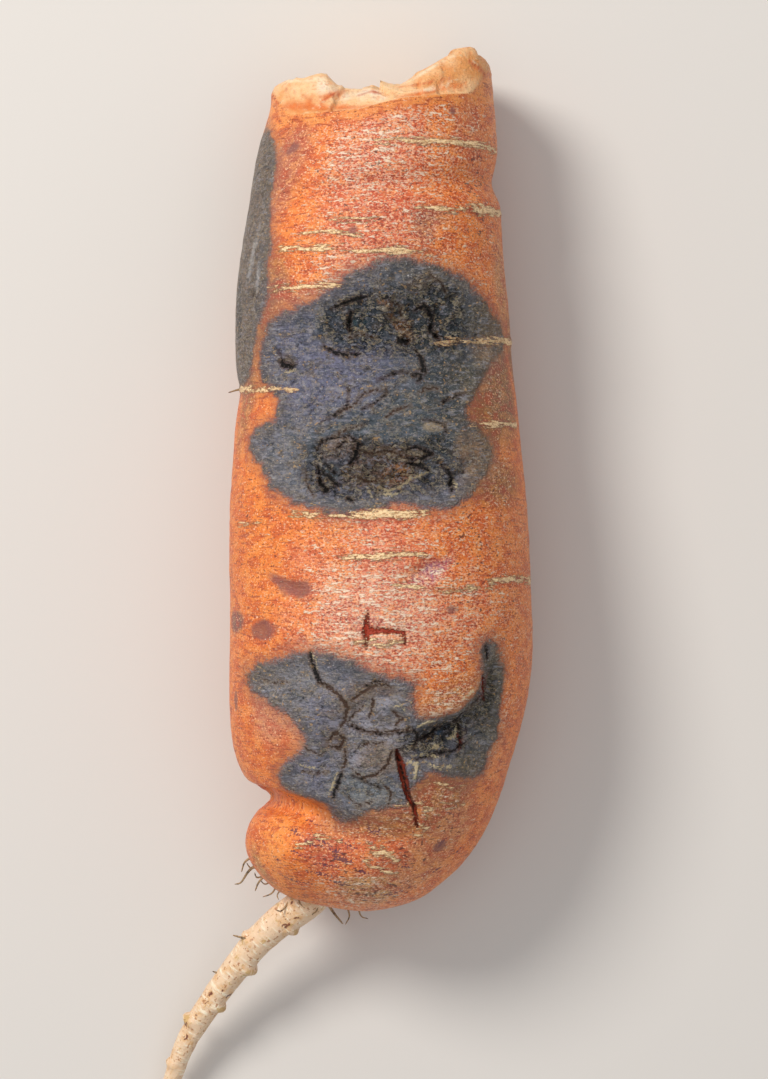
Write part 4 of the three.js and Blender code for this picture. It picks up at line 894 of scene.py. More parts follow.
def inside_outline(places, outline):
    """How many mm inside a closed outline each place lies, below zero outside it"""
    loop = smooth_curve(flat(outline), closed=True, steps=3)
    nearest = np.full(len(places), np.inf)
    crossings = np.zeros(len(places), dtype=int)
    for start, end in zip(loop, np.roll(loop, -1, axis=0)):
        nearest = np.minimum(nearest, nearest_on(places, start, end)[0])
        if start[1] != end[1]:
            reached = start[0] + (end[0] - start[0]) * (places[:, 1] - start[1]) / (end[1] - start[1])
            crossings += ((start[1] > places[:, 1]) != (end[1] > places[:, 1])) & (places[:, 0] < reached)
    return np.where(crossings % 2, nearest, -nearest)


def outside_stroke(places, route, in_plan=False):
    """How many mm outside a stroke each place lies, below zero inside it"""
    route = np.array(route, dtype=float)
    points = route[:, :2] if in_plan else flat(route)
    outside = np.full(len(places), np.inf)
    for i in range(len(points) - 1):
        distance, share = nearest_on(places, points[i], points[i + 1])
        half_width = route[i, 2] + (route[i + 1, 2] - route[i, 2]) * share
        outside = np.minimum(outside, distance - half_width)
    return outside


def oval_reach(places, oval):
    """0 at an oval's middle and 1 on its edge"""
    offset = places - flat([oval.at])[0]
    turn = math.radians(oval.turn)
    across = offset[:, 0] * math.cos(turn) + offset[:, 1] * math.sin(turn)
    up = -offset[:, 0] * math.sin(turn) + offset[:, 1] * math.cos(turn)
    return np.hypot(across / oval.half[0], up / oval.half[1])


def mound(places, oval):
    """1 at the middle of an oval on the skin, falling to 0 at its edge"""
    return 1 - clamped_steps(0, 1, oval_reach(places, oval))


def stained(places, stain, wobble):
    """How strongly a stain covers each place"""
    cover = np.zeros(len(places))
    for oval in stain.places:
        size = math.sqrt(oval.half[0] * oval.half[1])
        outside = (oval_reach(places, oval) - 1) * size + STAIN_WOBBLE * stain.soft * wobble
        cover = np.maximum(cover, 1 - clamped_steps(-0.5 * stain.soft, stain.soft, outside))
    return stain.cover * cover


def stroked(places, routes, soft, wobble, in_plan=False):
    """How strongly lines along the routes cover each place"""
    cover = np.zeros(len(places))
    for route in routes:
        outside = outside_stroke(places, route, in_plan) + STROKE_WOBBLE * soft * wobble
        cover = np.maximum(cover, 1 - clamped_steps(-soft, soft, outside))
    return cover


def off_strokes(places, routes):
    """How many mm off the nearest line each place lies, below zero on the line itself"""
    nearest = np.full(len(places), FAR_OFF)
    for route in routes:
        nearest = np.minimum(nearest, outside_stroke(places, route))
    return nearest


def painted(below, colour, cover):
    """A colour laid over the colours below it"""
    return below + (np.array(colour) - below) * cover[:, None]


def spread(places, areas, core):
    """How thick something lies that is spread over ovals, each full within a core share of its size"""
    thick = np.zeros(len(places))
    for oval, density in areas:
        thick = np.maximum(thick, density * (1 - clamped_steps(core, 1.4, oval_reach(places, oval))))
    return thick


def stained_tone(base, stains, places, wobble):
    """A base colour at each place, with stains laid over it"""
    tone = np.tile(np.array(base), (len(places), 1))
    for stain in stains:
        tone = painted(tone, linear(stain.colour), stained(places, stain, wobble))
    return tone


def lined_tone(tone, lines, places, wobble, in_plan=False):
    """The colour at each place, with painted lines laid over it"""
    for line in lines:
        cover = line.cover * stroked(places, line.routes, line.soft, wobble, in_plan)
        tone = painted(tone, linear(line.colour), cover)
    return tone


def read_vectors(items, field):
    """The vector in a field of each item, as one row of three numbers for each"""
    values = np.empty(len(items) * 3, dtype=np.float32)
    items.foreach_get(field, values)
    return values.reshape(-1, 3).astype(float)


# Kinds of attribute by how many numbers each value has, with the field that holds them
ATTRIBUTE_KINDS = {1: ("FLOAT", "value"), 3: ("FLOAT_VECTOR", "vector"), 4: ("FLOAT_COLOR", "color")}


def write_attribute(mesh, name, values):
    """Keeps a number, vector or colour for each vertex, for the materials to read"""
    kind, field = ATTRIBUTE_KINDS[values.size // len(values)]
    attribute = mesh.attributes.new(name, kind, "POINT")
    attribute.data.foreach_set(field, values.astype(np.float32).ravel())


def finish_piece(name, mesh, material):
    """Puts a finished mesh, in drawing millimetres, in its place in the model's frame"""
    places = read_vectors(mesh.vertices, "co")
    mesh.vertices.foreach_set("co", ((places + DRAWING_ZERO) * MM).astype(np.float32).ravel())
    mesh.materials.append(material)
    mesh.shade_smooth()
    piece = bpy.data.objects.new(name, mesh)
    bpy.context.scene.collection.objects.link(piece)
    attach(piece, BODY)
    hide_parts(NODE)


def fill_sockets(tree, node, inputs):
    """Gives each socket of a node its value, or links another node's output to it"""
    for socket, value in dict(inputs).items():
        if isinstance(value, bpy.types.NodeSocket):
            tree.links.new(value, node.inputs[socket])
        else:
            node.inputs[socket].default_value = value


def add_node(tree, kind, inputs=(), **settings):
    """Adds a node with its settings, and the values and links of its sockets"""
    made = tree.nodes.new(kind)
    for name, value in settings.items():
        setattr(made, name, value)
    fill_sockets(tree, made, inputs)
    return made


def new_material(name):
    """A new material with its node tree and the shader that draws its surface"""
    material = bpy.data.materials.new(name)
    material.use_nodes = True
    return material, material.node_tree, material.node_tree.nodes["Principled BSDF"]


def read_attributes(tree, names):
    """The piece's own attributes, by name: a vector or colour where the name ends that way, else a number"""
    values = {}
    for name in names:
        output = "Vector" if name == "wrap" else "Color" if name.endswith("_tone") else "Fac"
        values[name] = add_node(tree, "ShaderNodeAttribute", attribute_name=name).outputs[output]
    return values


def lay_grains(tree, values, vector, grains):
    """Noise for each grain, given how many units its features are long in each direction"""
    for name, (across, lengthwise, detail, roughness) in grains.items():
        stretched = add_node(tree, "ShaderNodeMapping", {
            "Vector": vector, "Scale": (1 / across, 1 / across, 1 / lengthwise)}).outputs[0]
        values[name] = add_node(tree, "ShaderNodeTexNoise", {
            "Vector": stretched, "Scale": 1.0, "Detail": detail, "Roughness": roughness}).outputs["Fac"]


def work_out(tree, values, steps):
    """Works through a list of steps: a result's name, RISE or a Math operation, and its terms.

    A term is a number or the name of an earlier result. RISE climbs smoothly from 0 to its last term as
    its first term goes from the second to the third.
    """
    for name, operation, *terms in steps:
        terms = [values.get(term, term) for term in terms]
        if operation == "RISE":
            inputs = dict(zip(("Value", "From Min", "From Max", "To Max"), terms))
            made = add_node(tree, "ShaderNodeMapRange", inputs, interpolation_type="SMOOTHSTEP")
        else:
            made = add_node(tree, "ShaderNodeMath", enumerate(terms), operation=operation)
        values[name] = made.outputs[0]


# The colour sockets of a Mix node, which go by number because its other kinds share their names
MIX_FACTOR, MIX_BELOW, MIX_ABOVE, MIX_RESULT = 0, 6, 7, 2


def lay_colours(tree, values, colour, layers):
    """Lays colours over one another, each by the cover with its name"""
    for layer_colour, cover in layers:
        above = values.get(layer_colour) or linear(layer_colour)
        inputs = {MIX_FACTOR: values[cover], MIX_BELOW: colour, MIX_ABOVE: above}
        colour = add_node(tree, "ShaderNodeMix", inputs, data_type="RGBA").outputs[MIX_RESULT]
    return colour


# How strongly thin wax on the root bends light
WAXY_IOR = 1.42

# Grain of the skin in mm: how far features reach round the root and along it, then detail and roughness.
# Growth makes them long across the root and narrow along it. The skin's real cork cells are under 0.1 mm,
# too fine to show in the render, so its fine grit and dust are drawn at 0.3 to 0.5 mm.
SKIN_GRAINS = {
    "streaks": (3.0, 0.45, 4.0, 0.65),
    "flecks": (0.75, 0.34, 3.0, 0.7),
    "dust": (0.46, 0.27, 2.0, 0.65),
    "mottle": (2.2, 1.6, 4.0, 0.65),
    "fine": (0.36, 0.28, 2.0, 0.6),
    "pores": (0.9, 0.55, 3.0, 0.6),
    "rot_grain": (0.8, 0.5, 5.0, 0.75),
    "rot_streaks": (2.4, 0.5, 4.0, 0.65),
    "rot_blots": (1.6, 1.0, 4.0, 0.7),
    "crags": (1.9, 1.0, 5.0, 0.6),
    "flakes": (0.6, 0.4, 1.0, 0.5),
    "flesh_grain": (1.3, 0.9, 5.0, 0.7),
}

# How much of each finish, and of each painted highlight and shade, shows at a place, in the steps of work_out
SKIN_COVERS = [
    ("wave", "SUBTRACT", "mottle", 0.5),
    ("small_wave", "SUBTRACT", "fine", 0.5),
    ("long_wave", "SUBTRACT", "streaks", 0.5),
    ("grain_wave", "SUBTRACT", "rot_grain", 0.5),
    ("edge", "MULTIPLY_ADD", "wave", 2.8, "rot_inside"),
    ("edge", "MULTIPLY_ADD", "small_wave", 1.4, "edge"),
    ("rot", "RISE", "edge", -0.7, 0.6, 0.97),
    ("halo", "RISE", "edge", -3.2, -0.2, 0.5),
    ("rot_rim", "RISE", "edge", 2.2, 0.4, 0.55),
    ("rot_rim", "MULTIPLY", "rot_rim", "rot"),
    ("not_rot", "SUBTRACT", 1.0, "rot"),
    ("darker", "RISE", "mottle", 0.47, 0.62, 0.58),
    ("lighter", "RISE", "mottle", 0.53, 0.36, 0.45),
    ("furrows", "RISE", "streaks", 0.44, 0.38, 0.7),
    ("grit", "MULTIPLY_ADD", "scurf", -0.05, "fine"),
    ("grit", "RISE", "grit", 0.41, 0.32, 0.85),
    # Pale yellow glints on the skin: painted highlights
    ("gleam", "MULTIPLY_ADD", "scurf", 0.06, "fine"),
    ("gleam", "RISE", "gleam", 0.60, 0.69, 0.8),
    # Tiny white glints everywhere, more where the rot is wet: painted highlights
    ("sparkle", "MULTIPLY_ADD", "wet", 0.05, "fine"),
    ("sparkle", "RISE", "sparkle", 0.72, 0.76, 0.8),
    ("fleck_wave", "SUBTRACT", "flecks", 0.5),
    ("dry", "MULTIPLY_ADD", "fleck_wave", 1.1, "streaks"),
    ("dry", "MULTIPLY_ADD", "scurf", 0.30, "dry"),
    ("dry", "RISE", "dry", 0.775, 0.83, 0.8),
    ("dry", "MULTIPLY", "dry", "not_rot"),
    ("dusty", "MULTIPLY_ADD", "scurf", 0.17, "dust"),
    ("dusty", "RISE", "dusty", 0.63, 0.71, 0.65),
    ("dusty", "MULTIPLY", "dusty", "not_rot"),
    ("specks", "MULTIPLY_ADD", "specks", 0.24, "pores"),
    ("specks", "RISE", "specks", 0.71, 0.76, 0.8),
    ("specks", "MULTIPLY", "specks", "not_rot"),
    ("bruise", "MULTIPLY_ADD", "wave", 1.6, "bruise"),
    ("bruise", "RISE", "bruise", 0.35, -0.35, 0.8),
    ("scar", "MULTIPLY_ADD", "long_wave", -3.2, "scar"),
    ("scar", "MULTIPLY_ADD", "fleck_wave", 1.6, "scar"),
    # A dark rim round each raised scar: partly the scar's own dark edge, partly painted shadow at its foot
    ("scar_rim_and_shadow", "RISE", "scar", 0.34, 0.05, 0.65),
    ("scar", "RISE", "scar", 0.10, -0.10, 0.9),
    ("scar_dark", "RISE", "dust", 0.50, 0.42, 0.7),
    ("scar_dark", "MULTIPLY", "scar_dark", "scar"),
    ("streak", "MULTIPLY_ADD", "small_wave", 1.6, "streak"),
    ("streak", "RISE", "streak", 0.02, -0.14, 0.8),
    ("split", "MULTIPLY_ADD", "small_wave", 0.8, "split"),
    ("split_rim", "RISE", "split", 0.28, 0.05, 0.7),
    ("split", "RISE", "split", 0.08, -0.08, 0.97),
    ("crack", "MULTIPLY_ADD", "small_wave", 0.6, "crack"),
    ("crack", "MULTIPLY_ADD", "grain_wave", 0.9, "crack"),
    ("crack_rim", "RISE", "crack", 0.5, 0.05, 0.6),
    ("crack", "RISE", "crack", 0.05, -0.07, 0.93),
    ("flake", "MULTIPLY_ADD", "small_wave", 1.2, "flake"),
    ("flake", "RISE", "flake", 0.12, -0.05, 0.9),
    ("whole", "MULTIPLY_ADD", "rough", -0.6, 0.8),
    ("rugged", "MULTIPLY_ADD", "rough", 0.7, 0.3),
    ("rugged", "MULTIPLY", "rugged", "rot"),
    ("whole", "MULTIPLY", "whole", "rot"),
    ("rot_dark", "RISE", "rot_grain", 0.48, 0.40, 0.8),
    ("rot_dark", "MULTIPLY", "rot_dark", "rugged"),
    ("rot_light", "RISE", "rot_grain", 0.52, 0.59, 0.85),
    ("rot_light", "MULTIPLY", "rot_light", "rugged"),
    # Dark furrows and a pale sheen along the rot's wrinkles: painted shade and painted highlight
    ("rot_furrow_shade", "RISE", "rot_streaks", 0.46, 0.38, 0.7),
    ("rot_furrow_shade", "MULTIPLY", "rot_furrow_shade", "whole"),
    ("rot_sheen", "RISE", "rot_streaks", 0.55, 0.62, 0.65),
    ("rot_sheen", "MULTIPLY", "rot_sheen", "whole"),
    ("rot_grit", "RISE", "fine", 0.42, 0.33, 0.5),
    ("rot_grit", "MULTIPLY", "rot_grit", "rot"),
    # Pale glints on the rot: painted highlights
    ("rot_gleam", "RISE", "fine", 0.60, 0.70, 0.4),
    ("rot_gleam", "MULTIPLY", "rot_gleam", "rot"),
    ("rot_brown", "RISE", "crags", 0.50, 0.60, 0.5),
    ("rot_brown", "MULTIPLY", "rot_brown", "rugged"),
    ("rot_umber", "RISE", "mottle", 0.50, 0.62, 0.7),
    ("rot_umber", "MULTIPLY", "rot_umber", "rot"),
    ("rot_slate", "RISE", "mottle", 0.48, 0.34, 0.5),
    ("rot_slate", "MULTIPLY", "rot_slate", "rot"),
    ("rot_tan", "RISE", "rot_blots", 0.56, 0.66, 0.6),
    ("rot_tan", "MULTIPLY", "rot_tan", "rot"),
    ("seam", "MULTIPLY_ADD", "small_wave", 0.8, "seam"),
    ("seam", "MULTIPLY_ADD", "grain_wave", 0.9, "seam"),
    ("seam_rim", "RISE", "seam", 0.5, 0.1, 0.45),
    ("seam", "RISE", "seam", 0.08, -0.08, 0.9),
    ("rot_flecks", "MULTIPLY_ADD", "wave", 0.5, "flakes"),
    ("rot_flecks", "RISE", "rot_flecks", 0.69, 0.73, 0.75),
    ("rot_flecks", "MULTIPLY", "rot_flecks", "rot"),
    ("crag_wave", "SUBTRACT", "crags", 0.5),
    # Thin black lines between the crumbs are painted shadow, and the pale lines beside them are painted
    # highlights on their lit edges
    ("shadowed_gap", "ABSOLUTE", "crag_wave"),
    ("shadowed_gap", "RISE", "shadowed_gap", 0.026, 0.004, 0.9),
    ("shadowed_gap", "MULTIPLY", "shadowed_gap", "rugged"),
    ("lit_edge", "SUBTRACT", "crag_wave", 0.055),
    ("lit_edge", "ABSOLUTE", "lit_edge"),
    ("lit_edge", "RISE", "lit_edge", 0.03, 0.004, 0.7),
    ("lit_edge", "MULTIPLY", "lit_edge", "rugged"),
    ("crumble", "MULTIPLY", "crumble", 0.45),
    ("crumble", "MULTIPLY_ADD", "crag_wave", 2.4, "crumble"),
    ("crumble", "MULTIPLY_ADD", "grain_wave", 2.4, "crumble"),
    # The deepest crumbs are painted near-black as shade, and the highest pale as highlight
    ("cavity_shade", "RISE", "crumble", -0.58, -0.84, 0.85),
    ("cavity_shade", "MULTIPLY", "cavity_shade", "rugged"),
    ("crest_highlight", "RISE", "crumble", 0.38, 0.70, 0.6),
    ("crest_highlight", "MULTIPLY", "crest_highlight", "rugged"),
    ("flesh", "MULTIPLY_ADD", "small_wave", 0.5, "flesh"),
    ("flesh", "RISE", "flesh", 0.35, 0.65, 1.0),
    ("flesh_deep", "RISE", "flesh_grain", 0.47, 0.36, 0.45),
    ("flesh_fibre", "RISE", "flesh_grain", 0.55, 0.66, 0.45),
]

# Colours of the skin from lowest to topmost, each laid on by the cover of that name. The glints, the sheen,
# the lit edges and the crests are painted highlights; the black of the deepest crumbs and of the gaps between
# them, the rot's furrows and part of the scars' dark rims are painted shade.
SKIN_LAYERS = [
    ("#C04A26", "darker"), ("#F29A50", "lighter"), ("#A2442A", "furrows"), ("#843822", "grit"),
    ("#FFBC86", "gleam"), ("#F0BE9E", "dusty"), ("scurf_colour", "dry"), ("#54302A", "specks"),
    ("#5E3446", "streak"), ("bruise_colour", "bruise"), ("#84594A", "halo"), ("rot_tone", "rot"),
    ("#5C4E42", "rot_rim"), ("#6E6052", "rot_umber"), ("#4C545C", "rot_slate"), ("#8E7C68", "rot_tan"),
    ("#6A5B4C", "rot_brown"), ("#4A4E58", "rot_furrow_shade"), ("#A4A3AE", "rot_sheen"), ("#3A4044", "rot_dark"),
    ("#A6A4AC", "rot_light"), ("#2C3034", "rot_grit"), ("#C4BCB8", "rot_gleam"), ("#C8A070", "rot_flecks"),
    ("#14171A", "cavity_shade"), ("#BCAA8C", "crest_highlight"), ("#C8B694", "lit_edge"), ("#16181A", "shadowed_gap"),
    ("#7C4630", "scar_rim_and_shadow"), ("#FFDCA8", "scar"), ("#B0703C", "scar_dark"), ("#8A7460", "seam_rim"),
    ("#4E3426", "seam"), ("#6A2E22", "split_rim"), ("#AC381C", "split"), ("#4A3020", "crack_rim"),
    ("#0C0A09", "crack"), ("#D2BE98", "flake"), ("#F2EEE6", "sparkle"),
]
FLESH_LAYERS = [("#EE8A44", "flesh_deep"), ("#FBDCB2", "flesh_fibre")]

# Height of the fine surface in mm, and its roughness
SKIN_HEIGHTS = [
    ("skin_height", "MULTIPLY", "fine", 0.14),
    ("skin_height", "MULTIPLY_ADD", "streaks", 0.26, "skin_height"),
    ("skin_height", "MULTIPLY_ADD", "dry", 0.07, "skin_height"),
    ("skin_height", "MULTIPLY_ADD", "scar", 0.12, "skin_height"),
    ("skin_height", "MULTIPLY_ADD", "split", -0.4, "skin_height"),
    ("rot_height", "MULTIPLY", "rot_streaks", 0.4),
    ("rot_height", "MULTIPLY_ADD", "rot_grain", 0.5, "rot_height"),
    ("crag_height", "MULTIPLY_ADD", "grain_wave", 0.7, "crag_wave"),
    ("crag_height", "MULTIPLY_ADD", "shadowed_gap", -0.12, "crag_height"),
    ("crag_height", "MULTIPLY", "crag_height", "rough"),
    ("rot_height", "MULTIPLY_ADD", "crag_height", 2.2, "rot_height"),
    ("rot_height", "MULTIPLY_ADD", "fine", 0.22, "rot_height"),
    ("rot_height", "MULTIPLY_ADD", "crack", -0.45, "rot_height"),
    ("rot_height", "MULTIPLY_ADD", "flake", 0.15, "rot_height"),
    ("rot_height", "MULTIPLY_ADD", "seam", -0.15, "rot_height"),
    ("rot_height", "MULTIPLY_ADD", "split", -0.4, "rot_height"),
    ("rot_rise", "SUBTRACT", "rot_height", "skin_height"),
    ("height", "MULTIPLY_ADD", "rot_rise", "rot", "skin_height"),
    ("flesh_rise", "SUBTRACT", "flesh_grain", 0.5),
    ("flesh_rise", "MULTIPLY", "flesh_rise", "flesh"),
    ("height", "MULTIPLY_ADD", "flesh_rise", 0.7, "height"),
    ("roughness", "MULTIPLY_ADD", "rot", 0.02, 0.44),
    ("roughness", "MULTIPLY_ADD", "wet", -0.22, "roughness"),
    ("glints", "RISE", "fine", 0.58, 0.66, 0.16),
    ("roughness", "SUBTRACT", "roughness", "glints"),
]


def carrot_skin_material(colours):
    """Carrot periderm: a thin waxy orange skin, dry flecks across it, and wet sunken rot where it died.

    The skin has a soft satin shine. Rot is matt slate where the skin is whole, and glints where it is wet.
    Its colours also hold painted highlights, and painted shade in the rot's furrows and crumbled craters.
    """
    material, tree, surface = new_material("carrot_periderm_with_rot")
    values = read_attributes(tree, (
        "skin_tone", "rot_tone", "flesh_tone", "rot_inside", "bruise", *DRAWN_LINES,
        "crumble", "rough", "flesh", "scurf", "specks", "wrap", "wet",
    ))
    lay_grains(tree, values, values["wrap"], SKIN_GRAINS)
    work_out(tree, values, SKIN_COVERS + SKIN_HEIGHTS)
    values["scurf_colour"] = colours.scurf
    values["bruise_colour"] = colours.bruise
    colour = lay_colours(tree, values, values["skin_tone"], SKIN_LAYERS)
    values["flesh_colour"] = lay_colours(tree, values, values["flesh_tone"], FLESH_LAYERS)
    colour = lay_colours(tree, values, colour, [("flesh_colour", "flesh")])
    relief = add_node(tree, "ShaderNodeBump", {
        "Height": values["height"], "Strength": 1.0, "Distance": MM}).outputs[0]
    fill_sockets(tree, surface, {
        "Base Color": colour, "Roughness": values["roughness"], "Normal": relief, "IOR": WAXY_IOR,
        "Subsurface Weight": 0.06, "Subsurface Radius": (0.003, 0.0012, 0.0005), "Subsurface Scale": 1.0,
    })
    return material


# Grain of the tap root in mm, and its covers and colours, as for the skin
TAP_ROOT_GRAINS = {
    "bands": (2.4, 0.55, 3.0, 0.6),
    "blotches": (1.5, 2.4, 3.0, 0.65),
    "specks": (0.6, 0.6, 2.0, 0.6),
    "dirt": (1.0, 1.4, 3.0, 0.7),
}
TAP_ROOT_COVERS = [
    ("warm", "RISE", "blotches", 0.46, 0.66, 0.6),
    ("pale", "RISE", "bands", 0.52, 0.68, 0.7),
    ("brown", "RISE", "specks", 0.60, 0.68, 0.75),
    ("soil", "MULTIPLY_ADD", "knob", 0.25, "dirt"),
    ("soil", "RISE", "soil", 0.60, 0.72, 0.85),
    ("rust", "RISE", "blotches", 0.635, 0.68, 0.9),
    ("height", "MULTIPLY", "bands", 0.22),
    ("height", "MULTIPLY_ADD", "dirt", 0.25, "height"),
]
TAP_ROOT_LAYERS = [
    ("#D9A466", "warm"), ("#FBF0D6", "pale"), ("#A8683A", "brown"), ("#C9A468", "soil"),
    ("#6E3424", "rust"),
]


def tap_root_material(colours):
    """Thin root cork: pale cream and a little waxy, with rust-brown specks and soil in its rings"""
    material, tree, surface = new_material("tap_root_cork")
    values = read_attributes(tree, ("wrap", "knob"))
    lay_grains(tree, values, values["wrap"], TAP_ROOT_GRAINS)
    work_out(tree, values, TAP_ROOT_COVERS)
    colour = lay_colours(tree, values, colours.tap_root, TAP_ROOT_LAYERS)
    relief = add_node(tree, "ShaderNodeBump", {
        "Height": values["height"], "Strength": 0.8, "Distance": MM}).outputs[0]
    fill_sockets(tree, surface, {
        "Base Color": colour, "Roughness": 0.5, "Normal": relief, "IOR": WAXY_IOR,
        "Subsurface Weight": 0.08, "Subsurface Radius": (0.002, 0.0014, 0.0008), "Subsurface Scale": 1.0,
    })
    return material


def hair_root_material():
    """Dry hair roots: dull tan threads, darker where soil clings to them"""
    material, tree, surface = new_material("dry_hair_root")
    values = read_attributes(tree, ("wrap",))
    lay_grains(tree, values, values["wrap"], {"clods": (0.9, 0.9, 3.0, 0.7)})
    work_out(tree, values, [("soil", "RISE", "clods", 0.45, 0.62, 0.85)])
    colour = lay_colours(tree, values, linear("#A98B66"), [("#46382E", "soil")])
    fill_sockets(tree, surface, {"Base Color": colour, "Roughness": 0.85})
    return material


def floor_material(colours):
    """Matt paper backdrop: plain and pale, with no pattern that shows"""
    material, tree, surface = new_material("matt_paper_floor")
    fill_sockets(tree, surface, {"Base Color": colours.floor, "Roughness": 0.9})
    return material


def sphere_shares(bm, sizes):
    """Each sphere vertex's row share from the pole at the broken top, and its turn from the upper line"""
    places = np.array([v.co[:] for v in bm.verts])
    rows = np.round(np.arccos(np.clip(places[:, 2], -1, 1)) / math.pi * sizes.rows) / sizes.rows
    turns = np.arctan2(places[:, 0], places[:, 1])
    return rows, turns


def on_skin(places, sizes):
    """The unrolled skin's coordinates of places on the body"""
    shares = np.linspace(0, 1, SKIN_LEVELS)
    centre, _, _, height = ring(shares, sizes.thickness)
    height = tip_lowered(shares, height, sizes.thickness)
    middle = np.interp(-places[:, 1], -centre[:, 1], height)
    return unrolled(places[:, 0], places[:, 1], places[:, 2] > middle)


def grown_relief(skin, places):
    """How far the living skin stands out in mm: its lumps, and the lobe and its fold"""
    height = LOBE_SWELLING * mound(skin, LOBE)
    for lump_height, round_turn, along_turn in LUMPS:
        height += lump_height * np.sin(round_turn * skin[:, 0] + along_turn * skin[:, 1])
    fold = np.zeros(len(skin))
    stops = flat(LOBE_FOLD)
    for i in range(len(stops) - 1):
        distance, share = nearest_on(skin, stops[i], stops[i + 1])
        depth = LOBE_FOLD[i][2] + (LOBE_FOLD[i + 1][2] - LOBE_FOLD[i][2]) * share
        fold = np.maximum(fold, depth * (1 - clamped_steps(0, LOBE_FOLD_HALF_WIDTH, distance)))
    uneven = UNEVEN_HEIGHT * rough_grain(places * UNEVEN_STRETCH, UNEVEN_SIZE, 3, seed=11)
    return height - fold + uneven


def rot_depth(skin, wobble):
    """The rot at each place: mm inside its edge, how rough its patch is, and how many mm it sinks"""
    rot_inside = np.full(len(skin), -ROT_REACH)
    rough = np.zeros(len(skin))
    sunk = np.zeros(len(skin))
    for name, outline in ROT_OUTLINES.items():
        inside = inside_outline(skin, outline)
        rot_inside = np.maximum(rot_inside, inside)
        rough = np.maximum(rough, ROT_ROUGH[name] * clamped_steps(0, 2, inside))
        sunk += ROT_SUNK[name] * clamped_steps(-0.5, ROT_EDGE_WIDTH, inside + 0.5 * wobble)
    for oval, drawn_back in ROT_THINNED:
        rot_inside -= drawn_back * mound(skin, oval)
    return rot_inside, rough, sunk


def crater_crumbs(skin, places, rot_inside, ripple):
    """The crumbled craters: how rough each place is, its crumbs, and the ridges between them"""
    crater = np.max([
        roughness * (1 - clamped_steps(0.75, 1.15, oval_reach(skin, oval) + 0.2 * ripple))
        for oval, roughness in CRATERS], axis=0)
    crater *= clamped_steps(0.5, 2.5, rot_inside)
    stretched = places * CRUMB_STRETCH
    crumbs = crater * (rough_grain(stretched, CRUMB_SIZE, 4, seed=3) - 0.1)
    ridges = crater * (1 - 3 * np.abs(rough_grain(stretched, RIDGE_SIZE, 4, seed=4)))
    return crater, crumbs, ridges


def rot_creases(skin, places, rot_inside):
    """Where the rotted skin is creased, from 0 to 1"""
    slant = math.radians(CREASE_SLANT)
    lengthwise = skin[:, 0] * math.cos(slant) + skin[:, 1] * math.sin(slant)
    crosswise = skin[:, 1] * math.cos(slant) - skin[:, 0] * math.sin(slant)
    stretched = np.stack([lengthwise / CREASE_LENGTH, crosswise / CREASE_WIDTH, 0 * crosswise], axis=-1)
    lines = 1 - clamped_steps(0, CREASE_LINE, np.abs(rough_grain(stretched, 1.0, 3, seed=12)))
    patches = clamped_steps(-0.1, 0.6, grain(places, CREASE_PATCH, seed=13) + 0.3)
    return lines * patches * clamped_steps(0.8, 2.5, rot_inside)


def below_rim(places, ripple):
    """1 on the smooth torn band of skin under the broken rim, falling to 0 below it"""
    depth = np.interp(places[:, 0], *np.array(SKIN_RIM).T) - places[:, 1] + 0.4 * ripple
    return 1 - clamped_steps(0.5 * RIM_BAND_WIDTH, 1.5 * RIM_BAND_WIDTH, depth)


def scurf_thickness(skin, rim_band):
    """How thick dry flecks lie: in bands across the top of the root, and in ovals"""
    scurf = np.zeros(len(skin))
    for band_y, half_height, density in SCURF_BANDS:
        off_band = np.abs(skin[:, 1] - band_y) / half_height
        scurf = np.maximum(scurf, density * (1 - clamped_steps(0.6, 1.4, off_band)))
    scurf *= 0.35 + 0.65 * clamped_steps(*SCURF_LEFT_FADE, skin[:, 0])
    scurf *= 0.4 + 0.6 * clamped_steps(-SCURF_SIDE_FADE, 0, -np.abs(skin[:, 0]))
    scurf *= 1 - rim_band
    return np.maximum(scurf, spread(skin, SCURF_AREAS, 0.4))


def paint_tones(mesh, skin, places, rim_band, wobble, ripple, colours):
    """Keeps each vertex's colour as living skin, as rot and as torn flesh, with the painted light and shade
    among its stains and lines
    """
    skin_tone = stained_tone(colours.skin, SKIN_STAINS, skin, ripple)
    skin_tone = painted(skin_tone, linear(RIM_BAND_COLOUR), RIM_BAND_COVER * rim_band)
    skin_tone = lined_tone(skin_tone, SKIN_STROKES, skin, wobble)
    rot_tone = stained_tone(colours.rot, ROT_STAINS, skin, wobble)
    rot_tone = lined_tone(rot_tone, ROT_STROKES, skin, wobble)
    flesh_tone = stained_tone(colours.flesh, (), skin, wobble)
    flesh_tone = lined_tone(flesh_tone, FLESH_STROKES, places[:, :2], wobble, in_plan=True)
    write_attribute(mesh, "skin_tone", skin_tone)
    write_attribute(mesh, "rot_tone", rot_tone)
    write_attribute(mesh, "flesh_tone", flesh_tone)


